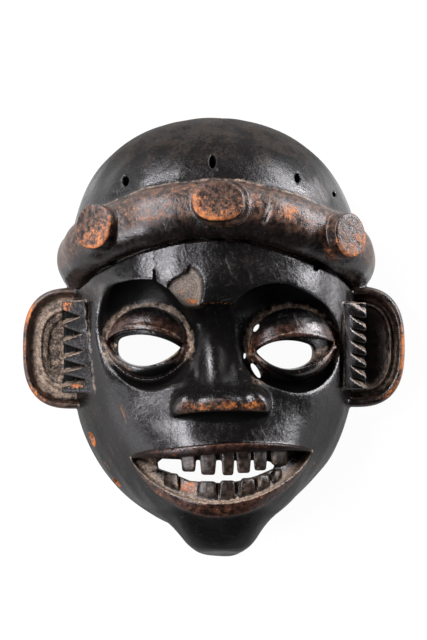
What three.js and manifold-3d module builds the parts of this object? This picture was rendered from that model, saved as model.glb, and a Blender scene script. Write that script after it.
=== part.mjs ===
// A carved wooden face mask, lying on its back rim with the face up.
// Millimetres. +X is to the right of someone looking at the face, +Y is towards the crown and +Z
// comes out of the face. The origin is in the plane of the back rim, at the middle of the outline.
// The whole mask is one block of wood, so everything below is joined to or cut from one solid.
import * as THREE from "three";
import { mergeVertices } from "three/addons/utils/BufferGeometryUtils.js";
import Module from "manifold-3d";

const wasm = await Module();
wasm.setup();

const V = (x, y, z = 0) => new THREE.Vector3(x, y, z);
const { PI, abs, cos, hypot, max, min, sign, sin, sqrt } = Math;
const lerp = THREE.MathUtils.lerp;

// The bare head: half widths of crown and jaw, how far they reach past the two ends of its straight
// middle, its height at the middle, and the hollow behind the face.
const crownHalfWidth = 88.5;
const jawHalfWidth = 86;
const crownCentreY = 48.5;
const crownReach = 86.5;
const jawCentreY = -25;
const jawReach = 97;
const headHeight = 86;
const headFullness = 2.2;
const jawTaper = 0.125;
const hollowHeight = 67;
const wallThickness = 10.5;

// Smooth swellings of the head: centre, half sizes and how softly each runs into the rest.
const muzzle = { at: V(3, -76, 50), half: V(48, 42, 44), blend: 18 };
const chin = { at: V(2.5, -104, 40), half: V(27, 30.5, 45), blend: 7 };
const brows = { at: V(-1, 30, 50), half: V(60, 34, 41), blend: 14 };
const swellings = [muzzle, chin, brows];

// Each eye: the socket under the brow, the swelling eyeball in it, the almond cut between the lids
// and the smaller hole right through. Tilt turns it outwards, about the Y axis.
const eyes = {
  left: {
    socket: { at: V(-40.5, 1.5, 80), half: V(31, 33, 24), tilt: -0.36, lean: 0.2 },
    ball: { at: V(-41.5, -5, 58.5), half: V(27.5, 24.5, 17), tilt: -0.36 },
    almond: { from: V(-64.5, -3.5), to: V(-15.5, -6.5), rise: 8.8, drop: 15 },
    hole: { from: V(-57.8, -5), to: V(-20.5, -7.5), rise: 6.8, drop: 12.2 },
  },
  right: {
    socket: { at: V(44, 0, 79), half: V(29.5, 31.5, 24), tilt: 0.38, lean: 0.2 },
    ball: { at: V(46.8, -7.5, 58), half: V(26.5, 23.5, 17), tilt: 0.4 },
    almond: { from: V(23.8, -8), to: V(71.5, -4.2), rise: 6.4, drop: 14.5 },
    hole: { from: V(25.2, -9.5), to: V(59, -9), rise: 6.6, drop: 11 },
  },
};
const lidThickness = 3.5;

// The hollow under the brow between the eyes, out of which the nose rises.
const betweenEyes = { at: V(1, -8, 92), half: V(24, 26.5, 20) };

// The nose, from its root between the brows to the broad flat base.
const noseRoot = { x: -1.5, y: 18, ridge: 72, halfWidth: 9 };
const noseBase = { x: 3.2, y: -34.5, ridge: 102.5, halfWidth: 28.5 };
const noseFront = 6.5;
const noseUnderside = 8;

// The mouth: its corners, and how far the edges of both lips stand off the line between them.
const mouthLeft = V(-49.7, -73);
const mouthRight = V(58.3, -69.5);
const upperLipArch = 2.4;
const lowerLipDrop = 28.3;

// The gums behind the lips, and the gap right through between the two rows of teeth.
const gums = { at: V(4, -80, 41), half: V(55, 43, 40) };
const gap = [
  V(-33.5, -79.5), V(-24.5, -82), V(-14.5, -86), V(3, -87), V(14, -86), V(25, -83), V(35, -79.3),
  V(36, -76.5), V(30, -73.5), V(-31, -73), V(-34, -75.5),
];

// Teeth: left edge, right edge, and the height of the biting edge.
const upperTeeth = [
  [-19.8, -10.7, -80.3],
  [-9.2, 1.1, -82.3],
  [3.5, 11.8, -82.3],
  [12.9, 21.6, -81.5],
  [23.2, 31.5, -79.9],
  [34.6, 42.9, -76.4],
];
const lowerTeeth = [
  [-29.7, -21, -82.6],
  [-9.6, 1.9, -85.8],
  [2.6, 13.4, -85.4],
  [15, 24.8, -84.2],
  [25.9, 33.9, -81.8],
  [34.8, 40.4, -79.6],
];
const toothFront = 86;
const toothDepth = 9;

// The roll round the forehead, with its three flat-ended pegs, and the ledge it stands on.
const bandPath = [
  V(-80, 42, 8), V(-81, 46, 26), V(-74, 53.5, 46), V(-60, 60, 61), V(-40, 67.5, 71.5),
  V(-20, 72, 76), V(0, 73.5, 77), V(20, 72, 76), V(40, 67.5, 71), V(60, 60.5, 60), V(77, 53, 44),
  V(84, 46.5, 26), V(83, 42, 8),
];
const bandHalfWidth = 15.5;
const bandHalfHeight = 14.5;
const pegs = [
  { face: V(-73.2, 65.8, 75), axis: V(-0.32, 0.1, 0.94), across: 11.6, along: 13.6 },
  { face: V(2.2, 79.4, 97), axis: V(0.02, 0.24, 0.97), across: 15.3, along: 12.1 },
  { face: V(81.8, 60.2, 66), axis: V(0.6, 0.02, 0.8), across: 12.4, along: 13 },
];
const pegLength = 24;

// The ears: half a rounded plate at each side, with the heights of rim, groove, ridge and bowl.
const earSize = V(31, 37);
const earSquareness = 2.7;
const ears = [
  { at: V(-86.3, -7.8), side: -1 },
  { at: V(85.4, -6.8), side: 1 },
];
const earSteps = [
  [1.5, 9], [0, 11], [0, 24.5], [1, 26], [2.8, 26], [4, 24], [5, 19.5], [11, 19.5], [12.3, 22.5],
  [14.3, 22.5], [16, 18.5], [23, 16],
];

// The toothed strips between face and ears: inner edge, outer edge, top, and the notches down it.
const combs = [
  { side: -1, inner: 75, outer: 92.3, top: 21, steps: [9.4, 10.4, 10.2, 9.4, 8.4, 7.6] },
  { side: 1, inner: 78.5, outer: 91.5, top: 20, steps: [7.6, 7.6, 7.5, 7.5, 7.4, 7.4, 7.4] },
];

// Small holes pierced through the crown: place, width and length.
const crownHoles = [
  [-53.2, 93, 3.4, 5.4],
  [-1.2, 104, 3.8, 7.6],
  [49.8, 95, 3, 5.2],
  [72.6, 86, 2, 2.8],
];

// Where it has cracked, chipped and worn through.
const crack = { x: -35, low: 24, high: 40.5, width: 1.2, depth: 7 };
const chip = [
  V(-28, 31), V(-25.2, 36), V(-19, 37.6), V(-12.5, 38.2), V(-8.8, 28), V(-7.6, 18), V(-13.5, 12),
  V(-21, 20),
];
const chipDepth = 3.2;
const jawChips = [
  { at: V(-75.5, -63.5, 32), half: V(3.6, 4.4, 6) },
  { at: V(-59.5, -89.5, 25), half: V(3, 3, 6) },
];
const wornSlits = [
  [24.9, 4.6, 1.6, 3.4],
  [18.2, -11.8, 1, 2.2],
  [24.2, -20.4, 2, 5.6],
];

// Smooth join of two fields: the smaller one, rounded over where they are within k of each other.
function blendMin(a, b, k) {
  const h = max(k - abs(a - b), 0) / k;
  return min(a, b) - (h * h * k) / 4;
}

// Roughly the distance to an ellipsoid's surface, negative inside.
function ellipsoidField(x, y, z, { at, half }, less) {
  const [a, b, c] = [half.x - less, half.y - less, half.z - less];
  const [u, v, w] = [(x - at.x) / a, (y - at.y) / b, (z - at.z) / c];
  const r = hypot(u, v, w);
  const slope = hypot(u / a, v / b, w / c);
  return slope < 1e-9 ? -min(a, b, c) : (r * (r - 1)) / slope;
}

// The bare head: round at the crown, tapering at the jaw, and domed over its outline.
function headField(x, y, z, wall) {
  const past = y > crownCentreY
    ? (y - crownCentreY) / (crownReach - wall)
    : min(y - jawCentreY, 0) / (jawReach - 1.4 * wall);
  const taper = y < jawCentreY ? max(1 - past * past, 0.02) ** jawTaper : 1;
  const up = min(max((y - jawCentreY) / (crownCentreY - jawCentreY), 0), 1);
  const halfWidth = lerp(jawHalfWidth, crownHalfWidth, up) - wall;
  const outline = hypot(x / (halfWidth * taper), past);
  const height = wall > 0 ? hollowHeight : headHeight;
  const r = (outline ** headFullness + abs(z / height) ** headFullness) ** (1 / headFullness);
  return (r - 1) * height;
}

// The smooth form under the carving: the head with its swellings, or the hollow inside it.
function formField(x, y, z, wall = 0) {
  let f = headField(x, y, z, wall);
  for (const s of wall > 0 ? [muzzle] : swellings) {
    f = blendMin(f, ellipsoidField(x, y, z, s, 1.5 * wall), s.blend);
  }
  return f;
}

// Where a ray leaves the form, searched from outside inwards.
function formSurface(start, direction, wall = 0) {
  const field = (t) => formField(
    start.x + t * direction.x, start.y + t * direction.y, start.z + t * direction.z, wall,
  );
  const step = 3;
  let outside = 150;
  while (outside > step && field(outside - step) > 0) outside -= step;
  let inside = outside - step;
  for (let i = 0; i < 20; i++) {
    const middle = (inside + outside) / 2;
    if (field(middle) > 0) outside = middle;
    else inside = middle;
  }
  return start.clone().addScaledVector(direction, inside);
}
const faceZ = (x, y) => formSurface(V(x, y, 0), V(0, 0, 1)).z;

// Which way the form faces at or near a point.
function formNormal({ x, y, z }) {
  const d = 1;
  const f = formField(x, y, z);
  return V(formField(x + d, y, z) - f, formField(x, y + d, z) - f, formField(x, y, z + d) - f)
    .normalize();
}

// A closed geometry as a solid for joining and cutting, turned right side out if need be.
function solid(geometry) {
  const bare = geometry.clone();
  for (const name of Object.keys(bare.attributes)) {
    if (name !== "position") bare.deleteAttribute(name);
  }
  const merged = mergeVertices(bare, 1e-3);
  const triVerts = new Uint32Array(merged.index.array);
  const vertProperties = merged.attributes.position.array;
  const made = new wasm.Manifold(new wasm.Mesh({ numProp: 3, vertProperties, triVerts }));
  if (made.volume() > 0) return made;
  triVerts.reverse();
  return new wasm.Manifold(new wasm.Mesh({ numProp: 3, vertProperties, triVerts }));
}
const joined = (solids) => solids.reduce((a, b) => a.add(b));

// A closed skin over rings of points: each ring joined to the next, both ends closed by a fan.
function skin(rings) {
  const n = rings[0].length;
  const points = rings.flat();
  const triangles = [];
  for (let r = 0; r < rings.length - 1; r++) {
    for (let i = 0; i < n; i++) {
      const [a, b] = [r * n + i, r * n + ((i + 1) % n)];
      triangles.push(a, b, b + n, a, b + n, a + n);
    }
  }
  const close = (ring, first, turned) => {
    const centre = points.push(ring.reduce((s, p) => s.add(p), V(0, 0)).divideScalar(n)) - 1;
    for (let i = 0; i < n; i++) {
      const [a, b] = [first + i, first + ((i + 1) % n)];
      triangles.push(centre, ...(turned ? [b, a] : [a, b]));
    }
  };
  close(rings[0], 0, true);
  close(rings.at(-1), (rings.length - 1) * n, false);
  return solid(new THREE.BufferGeometry().setFromPoints(points).setIndex(triangles));
}

// A straight-sided block over an outline, between two heights.
function prism(outline, low, high) {
  const shape = new THREE.Shape(outline.map((p) => new THREE.Vector2(p.x, p.y)));
  const g = new THREE.ExtrudeGeometry(shape, { depth: high - low, bevelEnabled: false });
  return solid(g.translate(0, 0, low));
}

// A form from its rim over to the front, each ray starting on the head's spine.
function formSolid(around, rings, wall, below) {
  const spineMiddle = (crownCentreY + jawCentreY) / 2;
  const spineHalf = (crownCentreY - jawCentreY) / 2;
  const ring = (elevation) => Array.from({ length: around }, (_, i) => {
    const a = (2 * PI * i) / around;
    const level = cos(elevation);
    const start = V(0, spineMiddle + spineHalf * sin(a) * level, 0);
    return formSurface(start, V(cos(a) * level, sin(a) * level, sin(elevation)), wall);
  });
  const made = Array.from({ length: rings }, (_, r) => ring((PI / 2) * (r / (rings - 0.4))));
  if (below > 0) made.unshift(made[0].map((p) => V(p.x, p.y, -below)));
  return skin(made);
}

// An ellipsoid, leant about the X axis and then tilted about the Y axis.
function ellipsoid({ at, half, tilt = 0, lean = 0 }, grow = 0, around = 22, down = 11) {
  const g = new THREE.SphereGeometry(1, around, down).rotateX(PI / 2);
  g.scale(half.x + grow, half.y + grow, half.z + grow).rotateX(lean).rotateY(tilt);
  return solid(g.translate(at.x, at.y, at.z));
}

// A rod along a curve lying on the form, its half width and half height changing along it, with
// rounded ends.
function rod(points, halfWidth, halfHeight, along, around, endRound = 2) {
  const curve = new THREE.CatmullRomCurve3(points, false, "centripetal");
  const rings = [];
  for (let i = 0; i <= along; i++) {
    const u = i / along;
    const centre = curve.getPointAt(u);
    const tangent = curve.getTangentAt(u);
    const side = formNormal(centre).cross(tangent).normalize();
    const up = tangent.clone().cross(side);
    const fromEnd = min(min(i, along - i) / endRound, 1);
    const round = sqrt(max(1 - (1 - fromEnd) ** 2, 0.06));
    rings.push(Array.from({ length: around }, (_, j) => {
      const a = (2 * PI * j) / around;
      return centre.clone()
        .addScaledVector(side, halfWidth(u) * round * cos(a))
        .addScaledVector(up, halfHeight(u) * round * sin(a));
    }));
  }
  return skin(rings);
}

// An almond outline between two corners, arched by rise above and by drop below.
function almond({ from, to, rise, drop }, half = 10) {
  const arch = (t) => (4 * t * (1 - t)) ** 0.85;
  const points = [];
  for (let i = 0; i < 2 * half; i++) {
    const t = i < half ? i / half : 2 - i / half;
    const p = from.clone().lerp(to, t);
    p.y += i < half ? -drop * arch(t) : rise * arch(t);
    points.push(p);
  }
  return points;
}

// The edges of the mouth opening, t running from -1 at the left corner to 1 at the right.
const mouthX = (t) => lerp(mouthLeft.x, mouthRight.x, (t + 1) / 2);
const mouthLine = (t) => lerp(mouthLeft.y, mouthRight.y, (t + 1) / 2);
const upperEdge = (t) => mouthLine(t) + (upperLipArch + 2.4 * t) * (1 - t * t);
const lowerEdge = (t) => mouthLine(t) - lowerLipDrop * max(1 - t * t, 0) ** 0.8;
const spread = (n) => Array.from({ length: n + 1 }, (_, i) => (2 * i) / n - 1);

// One eye: the socket hollowed under the brow, and the ball with its lids.
function socketOf(eye) {
  return ellipsoid(eye.socket);
}
function ballOf(eye) {
  const lids = ellipsoid(eye.ball).subtract(prism(almond(eye.almond), 40, 110));
  return lids.add(ellipsoid(eye.ball, -lidThickness, 16, 8));
}

// The nose as sections across it, from the root down to the base: a ridge with spreading wings.
function nose() {
  const rows = 9;
  const across = 12;
  const rings = [];
  const section = (x, y, ridge, halfWidth, edge, fullness) => {
    const ring = [];
    for (let i = 0; i <= across; i++) {
      const s = (2 * i) / across - 1;
      ring.push(V(x + halfWidth * s, y, lerp(ridge, edge, abs(s) ** fullness)));
    }
    ring.push(V(x + halfWidth, y, 60), V(x - halfWidth, y, 60));
    return ring;
  };
  for (let i = 0; i <= rows; i++) {
    const s = i / rows;
    const y = lerp(noseRoot.y, noseBase.y, s);
    rings.push(section(
      lerp(noseRoot.x, noseBase.x, s), y,
      lerp(noseRoot.ridge, noseBase.ridge, s ** 1.1),
      lerp(noseRoot.halfWidth, noseBase.halfWidth, s ** 2.4),
      lerp(70, 86, s ** 1.5), lerp(1.3, 2.2, s),
    ));
  }
  const { x, y, ridge, halfWidth } = noseBase;
  rings.push(section(x + 0.2, y - 0.7 * noseFront, ridge - 1.6, halfWidth + 1.8, 86, 2.6));
  rings.push(section(x + 0.4, y - noseFront, ridge - 4, halfWidth + 1.8, 84, 2.6));
  rings.push(section(x + 0.4, y - noseFront - noseUnderside, 80, halfWidth - 6, 74, 2));
  return skin(rings.reverse());
}

// A lip along one edge of the mouth, shifted off it by half its own width.
function lip(edge, way, halfWidth, halfHeight, lift) {
  const points = spread(14).map((t) => {
    const x = mouthX(0.985 * t);
    const y = edge(0.985 * t) + way * halfWidth * sqrt(max(1 - t * t, 0));
    return V(x, y, faceZ(x, y) + lift);
  });
  const swell = (u) => 0.3 + 0.7 * sin(PI * u) ** 0.6;
  return rod(points, (u) => halfWidth * swell(u), (u) => halfHeight * swell(u), 16, 8);
}

// A tooth tapering from its root in the lip to the biting edge, set back as the muzzle curves away.
function tooth([left, right, edge], lipEdge, way) {
  const middle = (left + right) / 2;
  const across = (2 * (middle - mouthLeft.x)) / (mouthRight.x - mouthLeft.x) - 1;
  const root = lipEdge(across) + 4 * way;
  const front = toothFront - 0.0062 * (middle - 4) ** 2;
  const ring = (y, l, r, near, far) => [V(l, y, near), V(r, y, near), V(r, y, far), V(l, y, far)];
  const narrow = 0.12 * (right - left);
  const rings = [
    ring(root, left, right, front, front - toothDepth),
    ring(lerp(root, edge, 0.8), left + 0.6 * narrow, right - 0.6 * narrow, front - 0.6,
      front - toothDepth + 1),
    ring(edge, left + 1.6 * narrow, right - 1.6 * narrow, front - 2, front - toothDepth + 2),
  ];
  return skin(rings);
}

// An ear: rings of its half-round outline, drawn in and raised step by step to the bowl.
function ear({ at, side }) {
  const around = 20;
  return skin(earSteps.map(([inset, z]) => Array.from({ length: around }, (_, i) => {
    const a = (2 * PI * i) / around;
    const round = (c) => sign(c) * abs(c) ** (2 / earSquareness);
    const x = (earSize.x - inset) * round(cos(a));
    return V(at.x + (x * side > 0 ? x : 0.6 * x), at.y + (earSize.y - inset) * round(sin(a)), z);
  })));
}

// A toothed strip: a sloping block, notched from its outer side.
function comb({ side, inner, outer, top, steps }) {
  const slope = (y) => [
    V(side * (inner - 3), y, 18), V(side * (inner - 3), y, 52), V(side * inner, y, 50),
    V(side * outer, y, 35), V(side * (outer - 1.5), y, 18),
  ];
  const length = steps.reduce((a, b) => a + b);
  let block = skin([slope(top), slope(top - length)]);
  let y = top;
  for (const step of steps.slice(0, -1)) {
    y -= step;
    const notch = [
      V(side * (outer + 1), y + 0.45 * step), V(side * (inner + 2.6), y),
      V(side * (outer + 1), y - 0.12 * step),
    ];
    block = block.subtract(prism(notch, 26, 70));
  }
  return block;
}

// A flat-ended peg of the band, its axis leaning with the head.
function peg({ face, axis, across, along }) {
  const profile = [
    [0, -pegLength], [0.97, -pegLength], [1, -2.2], [0.94, -0.7], [0.84, 0], [0, 0],
  ].map(([r, h]) => new THREE.Vector2(r, h));
  const g = new THREE.LatheGeometry(profile, 18).rotateX(PI / 2).scale(across, along, 1);
  const turn = new THREE.Quaternion().setFromUnitVectors(V(0, 0, 1), axis.clone().normalize());
  return solid(g.applyQuaternion(turn).translate(face.x, face.y, face.z));
}

// An upright hole with an oval plan.
function ovalHole([x, y, width, length], low, high, around = 6) {
  const outline = Array.from({ length: around }, (_, i) => {
    const a = (2 * PI * i) / around;
    return V(x + (width / 2) * cos(a), y + (length / 2) * sin(a));
  });
  return prism(outline, low, high);
}

// The blank, its band and ears, then the carving of the face.
const blank = formSolid(58, 17, 0, 0);
const band = rod(bandPath, () => bandHalfWidth, () => bandHalfHeight, 24, 12, 2);
const sockets = joined([...Object.values(eyes).map(socketOf), ellipsoid(betweenEyes, 0, 18, 8)]);
const balls = joined(Object.values(eyes).map(ballOf));
const outside = joined([
  blank.subtract(sockets), balls, nose(), band, ...pegs.map(peg), ...ears.map(ear),
  ...combs.map(comb), lip(upperEdge, 1, 3, 3.4, 0.4), lip(lowerEdge, -1, 4, 4, 1),
]);

const cups = joined(Object.values(eyes).map((eye) => ellipsoid(eye.socket, 6, 14, 7)));
const hollow = formSolid(32, 7, wallThickness, 30).subtract(cups);
const mouthOutline = (grow) => [
  ...spread(16).map((t) => V(mouthX(t * (1 + 0.02 * grow)), lowerEdge(t) - grow)),
  ...spread(10).slice(1, -1).reverse().map((t) => V(mouthX(t), upperEdge(t) + grow)),
];
const eyeHoles = Object.values(eyes).map((eye) => prism(almond(eye.hole), 20, 110));
const chipFloor = faceZ(-18, 27) - chipDepth;
const crackOutline = [
  V(crack.x - crack.width / 2, crack.low), V(crack.x + crack.width / 2, crack.low),
  V(crack.x + 0.8, crack.high), V(crack.x - 0.2, crack.high + 1),
];
const mouth = prism(mouthOutline(0), 30, 120);
const behindMouth = prism(mouthOutline(1.5), 30, 120);
const cuts = [
  hollow, ...eyeHoles, prism(gap, 30, 120), prism(chip, chipFloor, 110),
  prism(crackOutline, faceZ(crack.x, crack.high) - crack.depth, 110),
  ...crownHoles.map((h) => ovalHole(h, 5, 110)),
  ...wornSlits.map((h) => ovalHole(h, 20, 78)),
  ...jawChips.map((c) => ellipsoid(c, 0, 10, 6)),
];
const slab = prism([V(-200, -200), V(200, -200), V(200, 200), V(-200, 200)], -60, 0);
const opened = outside.subtract(mouth).add(ellipsoid(gums).intersect(behindMouth));
const carved = opened.subtract(joined([...cuts, slab]));
const teeth = [
  ...upperTeeth.map((t) => tooth(t, upperEdge, 1)),
  ...lowerTeeth.map((t) => tooth(t, lowerEdge, -1)),
];
const mask = joined([carved, ...teeth]);

// The solid as a mesh.
function meshOf(made, name, material) {
  const m = made.getMesh();
  const g = new THREE.BufferGeometry()
    .setAttribute("position", new THREE.BufferAttribute(m.vertProperties, 3))
    .setIndex(new THREE.BufferAttribute(m.triVerts, 1));
  const mesh = new THREE.Mesh(g, material);
  mesh.name = name;
  return mesh;
}

const blackenedWood = new THREE.MeshStandardMaterial({ color: 0x2a2523, roughness: 0.4, metalness: 0 });
const group = new THREE.Group();
group.add(meshOf(mask, "mask", blackenedWood));
export default group;
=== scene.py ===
"""A carved wooden face mask, blackened and worn, lying face up on its back rim.

Sizes are millimetres until a mesh is made. +X is to the right of someone looking at the face, +Y
towards the crown and +Z out of the face. The mask is one block of wood with undercuts and holes
right through it, so its shape is a field over space: roughly the distance to the surface, negative
inside the wood. Each section joins to the field or cuts from it what the carver shaped there.
"""

import bpy
import numpy as np
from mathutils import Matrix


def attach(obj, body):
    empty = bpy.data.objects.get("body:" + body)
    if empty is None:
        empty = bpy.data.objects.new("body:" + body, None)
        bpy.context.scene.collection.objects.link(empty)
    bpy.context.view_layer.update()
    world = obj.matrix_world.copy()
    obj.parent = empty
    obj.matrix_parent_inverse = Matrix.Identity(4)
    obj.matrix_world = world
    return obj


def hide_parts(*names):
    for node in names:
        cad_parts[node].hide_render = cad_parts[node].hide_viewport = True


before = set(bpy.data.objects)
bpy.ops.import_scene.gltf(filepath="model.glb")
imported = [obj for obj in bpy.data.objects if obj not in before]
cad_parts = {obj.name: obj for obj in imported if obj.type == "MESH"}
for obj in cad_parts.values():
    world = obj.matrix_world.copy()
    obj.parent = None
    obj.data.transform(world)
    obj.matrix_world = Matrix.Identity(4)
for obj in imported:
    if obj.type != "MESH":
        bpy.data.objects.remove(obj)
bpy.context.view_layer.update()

# The block. A head-shaped billet, rounded at the crown and tapering to the jaw, left with the
# swellings of the brow, the muzzle and the chin. Its surface wavers a little, as an adze leaves it.
carving = []


def carve(low, high):
    """Adds a step to the carving, at work only between two corners."""
    def keep(step):
        carving.append((low, high, step))
        return step
    return keep


def join(a, b, soft):
    """The smaller of two fields, rounded over where they are within soft of each other."""
    overlap = np.maximum(soft - np.abs(a - b), 0)
    return np.minimum(a, b) - overlap * overlap / (4 * soft)


def cut(a, b, soft):
    """What is left of field a when b is cut away, its new edge rounded over by soft."""
    return -join(-a, b, soft)


def both(a, b, soft):
    """What two fields share, its edges rounded over by soft."""
    return -join(-a, -b, soft)


def lerp(a, b, t):
    """The value a share t of the way from a to b."""
    return a + (b - a) * t


def ramp(value, low, high):
    """0 at low, 1 at high, and t t (3 - 2 t) between them."""
    t = np.clip((value - low) / (high - low), 0, 1)
    return t * t * (3 - 2 * t)


def spun(x, y, turn):
    """Place after a turn about the origin, in radians."""
    c, s = np.cos(turn), np.sin(turn)
    return c * x - s * y, s * x + c * y


def turned(x, y, z, at, lean, tilt):
    """Place in a frame at a point, leant about X by lean and then about Y by tilt, in radians."""
    x, z = spun(x - at[0], z - at[2], tilt)
    z, y = spun(z, y - at[1], lean)
    return x, y, z


def superellipse(u, v, square):
    """Radius of a place over its half sizes, for an outline squarer the higher square is."""
    return (np.abs(u) ** square + np.abs(v) ** square) ** (1 / square)


def ellipsoid(x, y, z, at, half, lean=0, tilt=0):
    """r (r - 1) over the length of r's slope, r being the length of the place over its half
    sizes."""
    u, v, w = turned(x, y, z, at, lean, tilt)
    a, b, c = half
    r = np.sqrt((u / a) ** 2 + (v / b) ** 2 + (w / c) ** 2)
    slope = np.sqrt((u / a**2) ** 2 + (v / b**2) ** 2 + (w / c**2) ** 2)
    return r * (r - 1) / np.maximum(slope, 1e-6)


CROWN_Y, CROWN_REACH, CROWN_HALF_WIDTH = 48.5, 85.8, 88.5
JAW_Y, JAW_REACH, JAW_HALF_WIDTH, JAW_TAPER = -25, 97, 86, 0.125
CROWN_LEAN, JAW_LEAN = 1.2, 2.3
HEAD_HEIGHT, FULLNESS, PLAN_FULLNESS = 86, 2.2, 2.13
MUZZLE = ((3, -76, 50), (48, 42, 44), 18)
CHIN = ((3, -103.2, 40), (28.5, 31, 52), 7)
CHIN_EDGE = (-128, 66)
CHIN_FLATS = (((-0.6, 0.8), 9), ((-0.985, 0.17), 1))
BROWS = ((-1, 30, 50), (60, 34, 41), 14)
ADZE_WAVE, ADZE_DEPTH = 26, 0.3


def head(x, y, z, height, wall):
    """Outline radius: a superellipse of across over half width and of along over reach past the
    straight middle, leaning a little left at both ends. Field: a superellipse of that and of height
    over full height, less 1, times full height."""
    crown = np.maximum(y - CROWN_Y, 0) / (CROWN_REACH - wall)
    jaw = np.minimum(y - JAW_Y, 0) / (JAW_REACH - 1.4 * wall)
    x = x + CROWN_LEAN * crown - JAW_LEAN * jaw
    taper = np.maximum(1 - jaw * jaw, 0.02) ** JAW_TAPER
    up = np.clip((y - JAW_Y) / (CROWN_Y - JAW_Y), 0, 1)
    half_width = (lerp(JAW_HALF_WIDTH, CROWN_HALF_WIDTH, up) - wall) * taper
    outline = superellipse(x / half_width, crown + jaw, PLAN_FULLNESS)
    return (superellipse(outline, z / height, FULLNESS) - 1) * height


def form(x, y, z):
    """The bare head with its swellings run smoothly into it, the chin pared flat in front and
    below, the two flats meeting in an edge."""
    f = head(x, y, z, HEAD_HEIGHT, 0)
    for at, half, soft in (MUZZLE, BROWS):
        f = join(f, ellipsoid(x, y, z, at, half), soft)
    at, half, soft = CHIN
    chin = ellipsoid(x, y, z, at, half)
    for (facing_y, facing_z), edge in CHIN_FLATS:
        chin = both(chin, facing_z * (z - CHIN_EDGE[1]) + facing_y * (y - CHIN_EDGE[0]), edge)
    return join(f, chin, soft)


WAVES = np.random.default_rng(7).normal(size=(9, 4))


def waver(x, y, z, length):
    """A sum of sines across nine set directions, about 1 high and length long."""
    total = 0
    for kx, ky, kz, phase in WAVES:
        total = total + np.sin((kx * x + ky * y + kz * z) * (3.6 / length) + 9 * phase)
    return total / 3


@carve((-130, -150, -20), (130, 150, 130))
def block(f, x, y, z):
    """The first step, which takes no notice of the empty field before it."""
    return form(x, y, z) + ADZE_DEPTH * waver(x, y, z, ADZE_WAVE)


# The eyes. Each socket is hollowed deep under a sharp brow, and the swelling eyeball left standing
# in it has an almond cut between its lids and a smaller hole right through for the wearer to see.
ARCH_POWER, ARCH_SLOPE = 0.85, 0.9


def almond(x, y, start, end, rise, drop, rise_skew, drop_skew):
    """Distance in plan outside two arches over the line between the corners, each a rise or drop
    times (4 t (1 - t)) to a power, t being first raised to a skew. Then, how far a point is below
    the lower arch and above the upper one, and t."""
    t = (x - start[0]) / (end[0] - start[0])
    inside = np.clip(t, 0, 1)
    line = lerp(start[1], end[1], inside)
    over, under = inside**rise_skew, inside**drop_skew
    past = np.abs(t - inside) * (end[0] - start[0])
    above = (y - line - rise * (4 * over * (1 - over)) ** ARCH_POWER) * ARCH_SLOPE
    below = (line - drop * (4 * under * (1 - under)) ** ARCH_POWER - y) * ARCH_SLOPE
    return np.maximum(above, below) + past, below, above, inside


EYES = {
    "left": {
        "socket": ((-37.8, 4.4, 72.7), (35.2, 36.2, 19.5), -0.08, -0.5, 0.04, 1.83),
        "ball": ((-40.2, -4.4, 58.5), (24.9, 22, 16.6), 0, -0.36),
        "almond": ((-64.5, -3.5), (-15.5, -6.5), 8.6, 13.4, 0.85, 0.9),
        "hole": ((-61.5, -5), (-20.5, -7), 6.6, 12.2, 0.9, 0.8),
        "blunt": (-1, 58),
    },
    "right": {
        "socket": ((41.3, 0.1, 68.3), (41, 37.8, 17.1), 0.03, 0.63, 0.21, 1.65),
        "ball": ((46.8, -5.6, 57.5), (26.8, 22.4, 16.7), 0, 0.42),
        "almond": ((23.8, -8), (71.5, -4.2), 5.6, 13.4, 1, 1.1),
        "hole": ((25.2, -9.5), (63.5, -9), 6.6, 10.6, 0.9, 1.05),
        "blunt": (1, 59),
    },
}
BETWEEN_EYES = ((1, -8, 92), (26, 27, 21))
GLABELLA = ((-2.5, 0, 92), (25, 18.4, 20), 0, 0, 0, 3.2)
BROW_END, BROW_END_FACING = (-27.7, 28.8), (0.774, 0.635)
LID = 3.5
LID_ROLLS = ((2.5, 0.3, 3.5, 1.2), (1.2, -0.6, 1.6, 2))


def grown(half, by):
    """Half sizes, each larger by the same length."""
    return tuple(h + by for h in half)


def socket(x, y, z, at, half, lean, tilt, shear, square):
    """(r - 1) over r's slope, r being as for an ellipsoid but with its plan a superellipse of
    exponent square, sheared across."""
    u, v, w = turned(x, y, z, at, lean, tilt)
    u, v, w = np.abs((u + shear * v) / half[0]), np.abs(v / half[1]), w / half[2]
    plan = np.maximum(superellipse(u, v, square), 1e-4)
    r = np.sqrt(plan * plan + w * w)
    rise = ((u ** (square - 1) / half[0]) ** 2 + (v ** (square - 1) / half[1]) ** 2)
    slope = np.sqrt(plan**2 * rise * plan ** (2 - 2 * square) + (w / half[2]) ** 2) / r
    return (r - 1) / np.maximum(slope, 1e-3)


@carve((-85, -50, 30), (85, 50, 115))
def sockets(f, x, y, z):
    """Both hollows and the root of the nose between them, cut with an edge that is sharp at the
    brow and rounder below the eyes, beside the nose and at the left temple."""
    hollowed = join(ellipsoid(x, y, z, *BETWEEN_EYES), socket(x, y, z, *GLABELLA), 3)
    past_brow = (x - BROW_END[0]) * BROW_END_FACING[0] + (y - BROW_END[1]) * BROW_END_FACING[1]
    left = both(socket(x, y, z, *EYES["left"]["socket"]), past_brow, 5)
    right = socket(x, y, z, *EYES["right"]["socket"])
    hollowed = join(join(hollowed, left, 4), right, 4)
    beside_nose = ramp(-y, 12, 24) * ramp(np.abs(x - 1), 27, 20)
    edge = 1.7 + 1.4 * ramp(-y, 5, 20) + 6 * ramp(-x, 52, 66) + 5 * beside_nose
    return cut(f, hollowed, edge)


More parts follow.
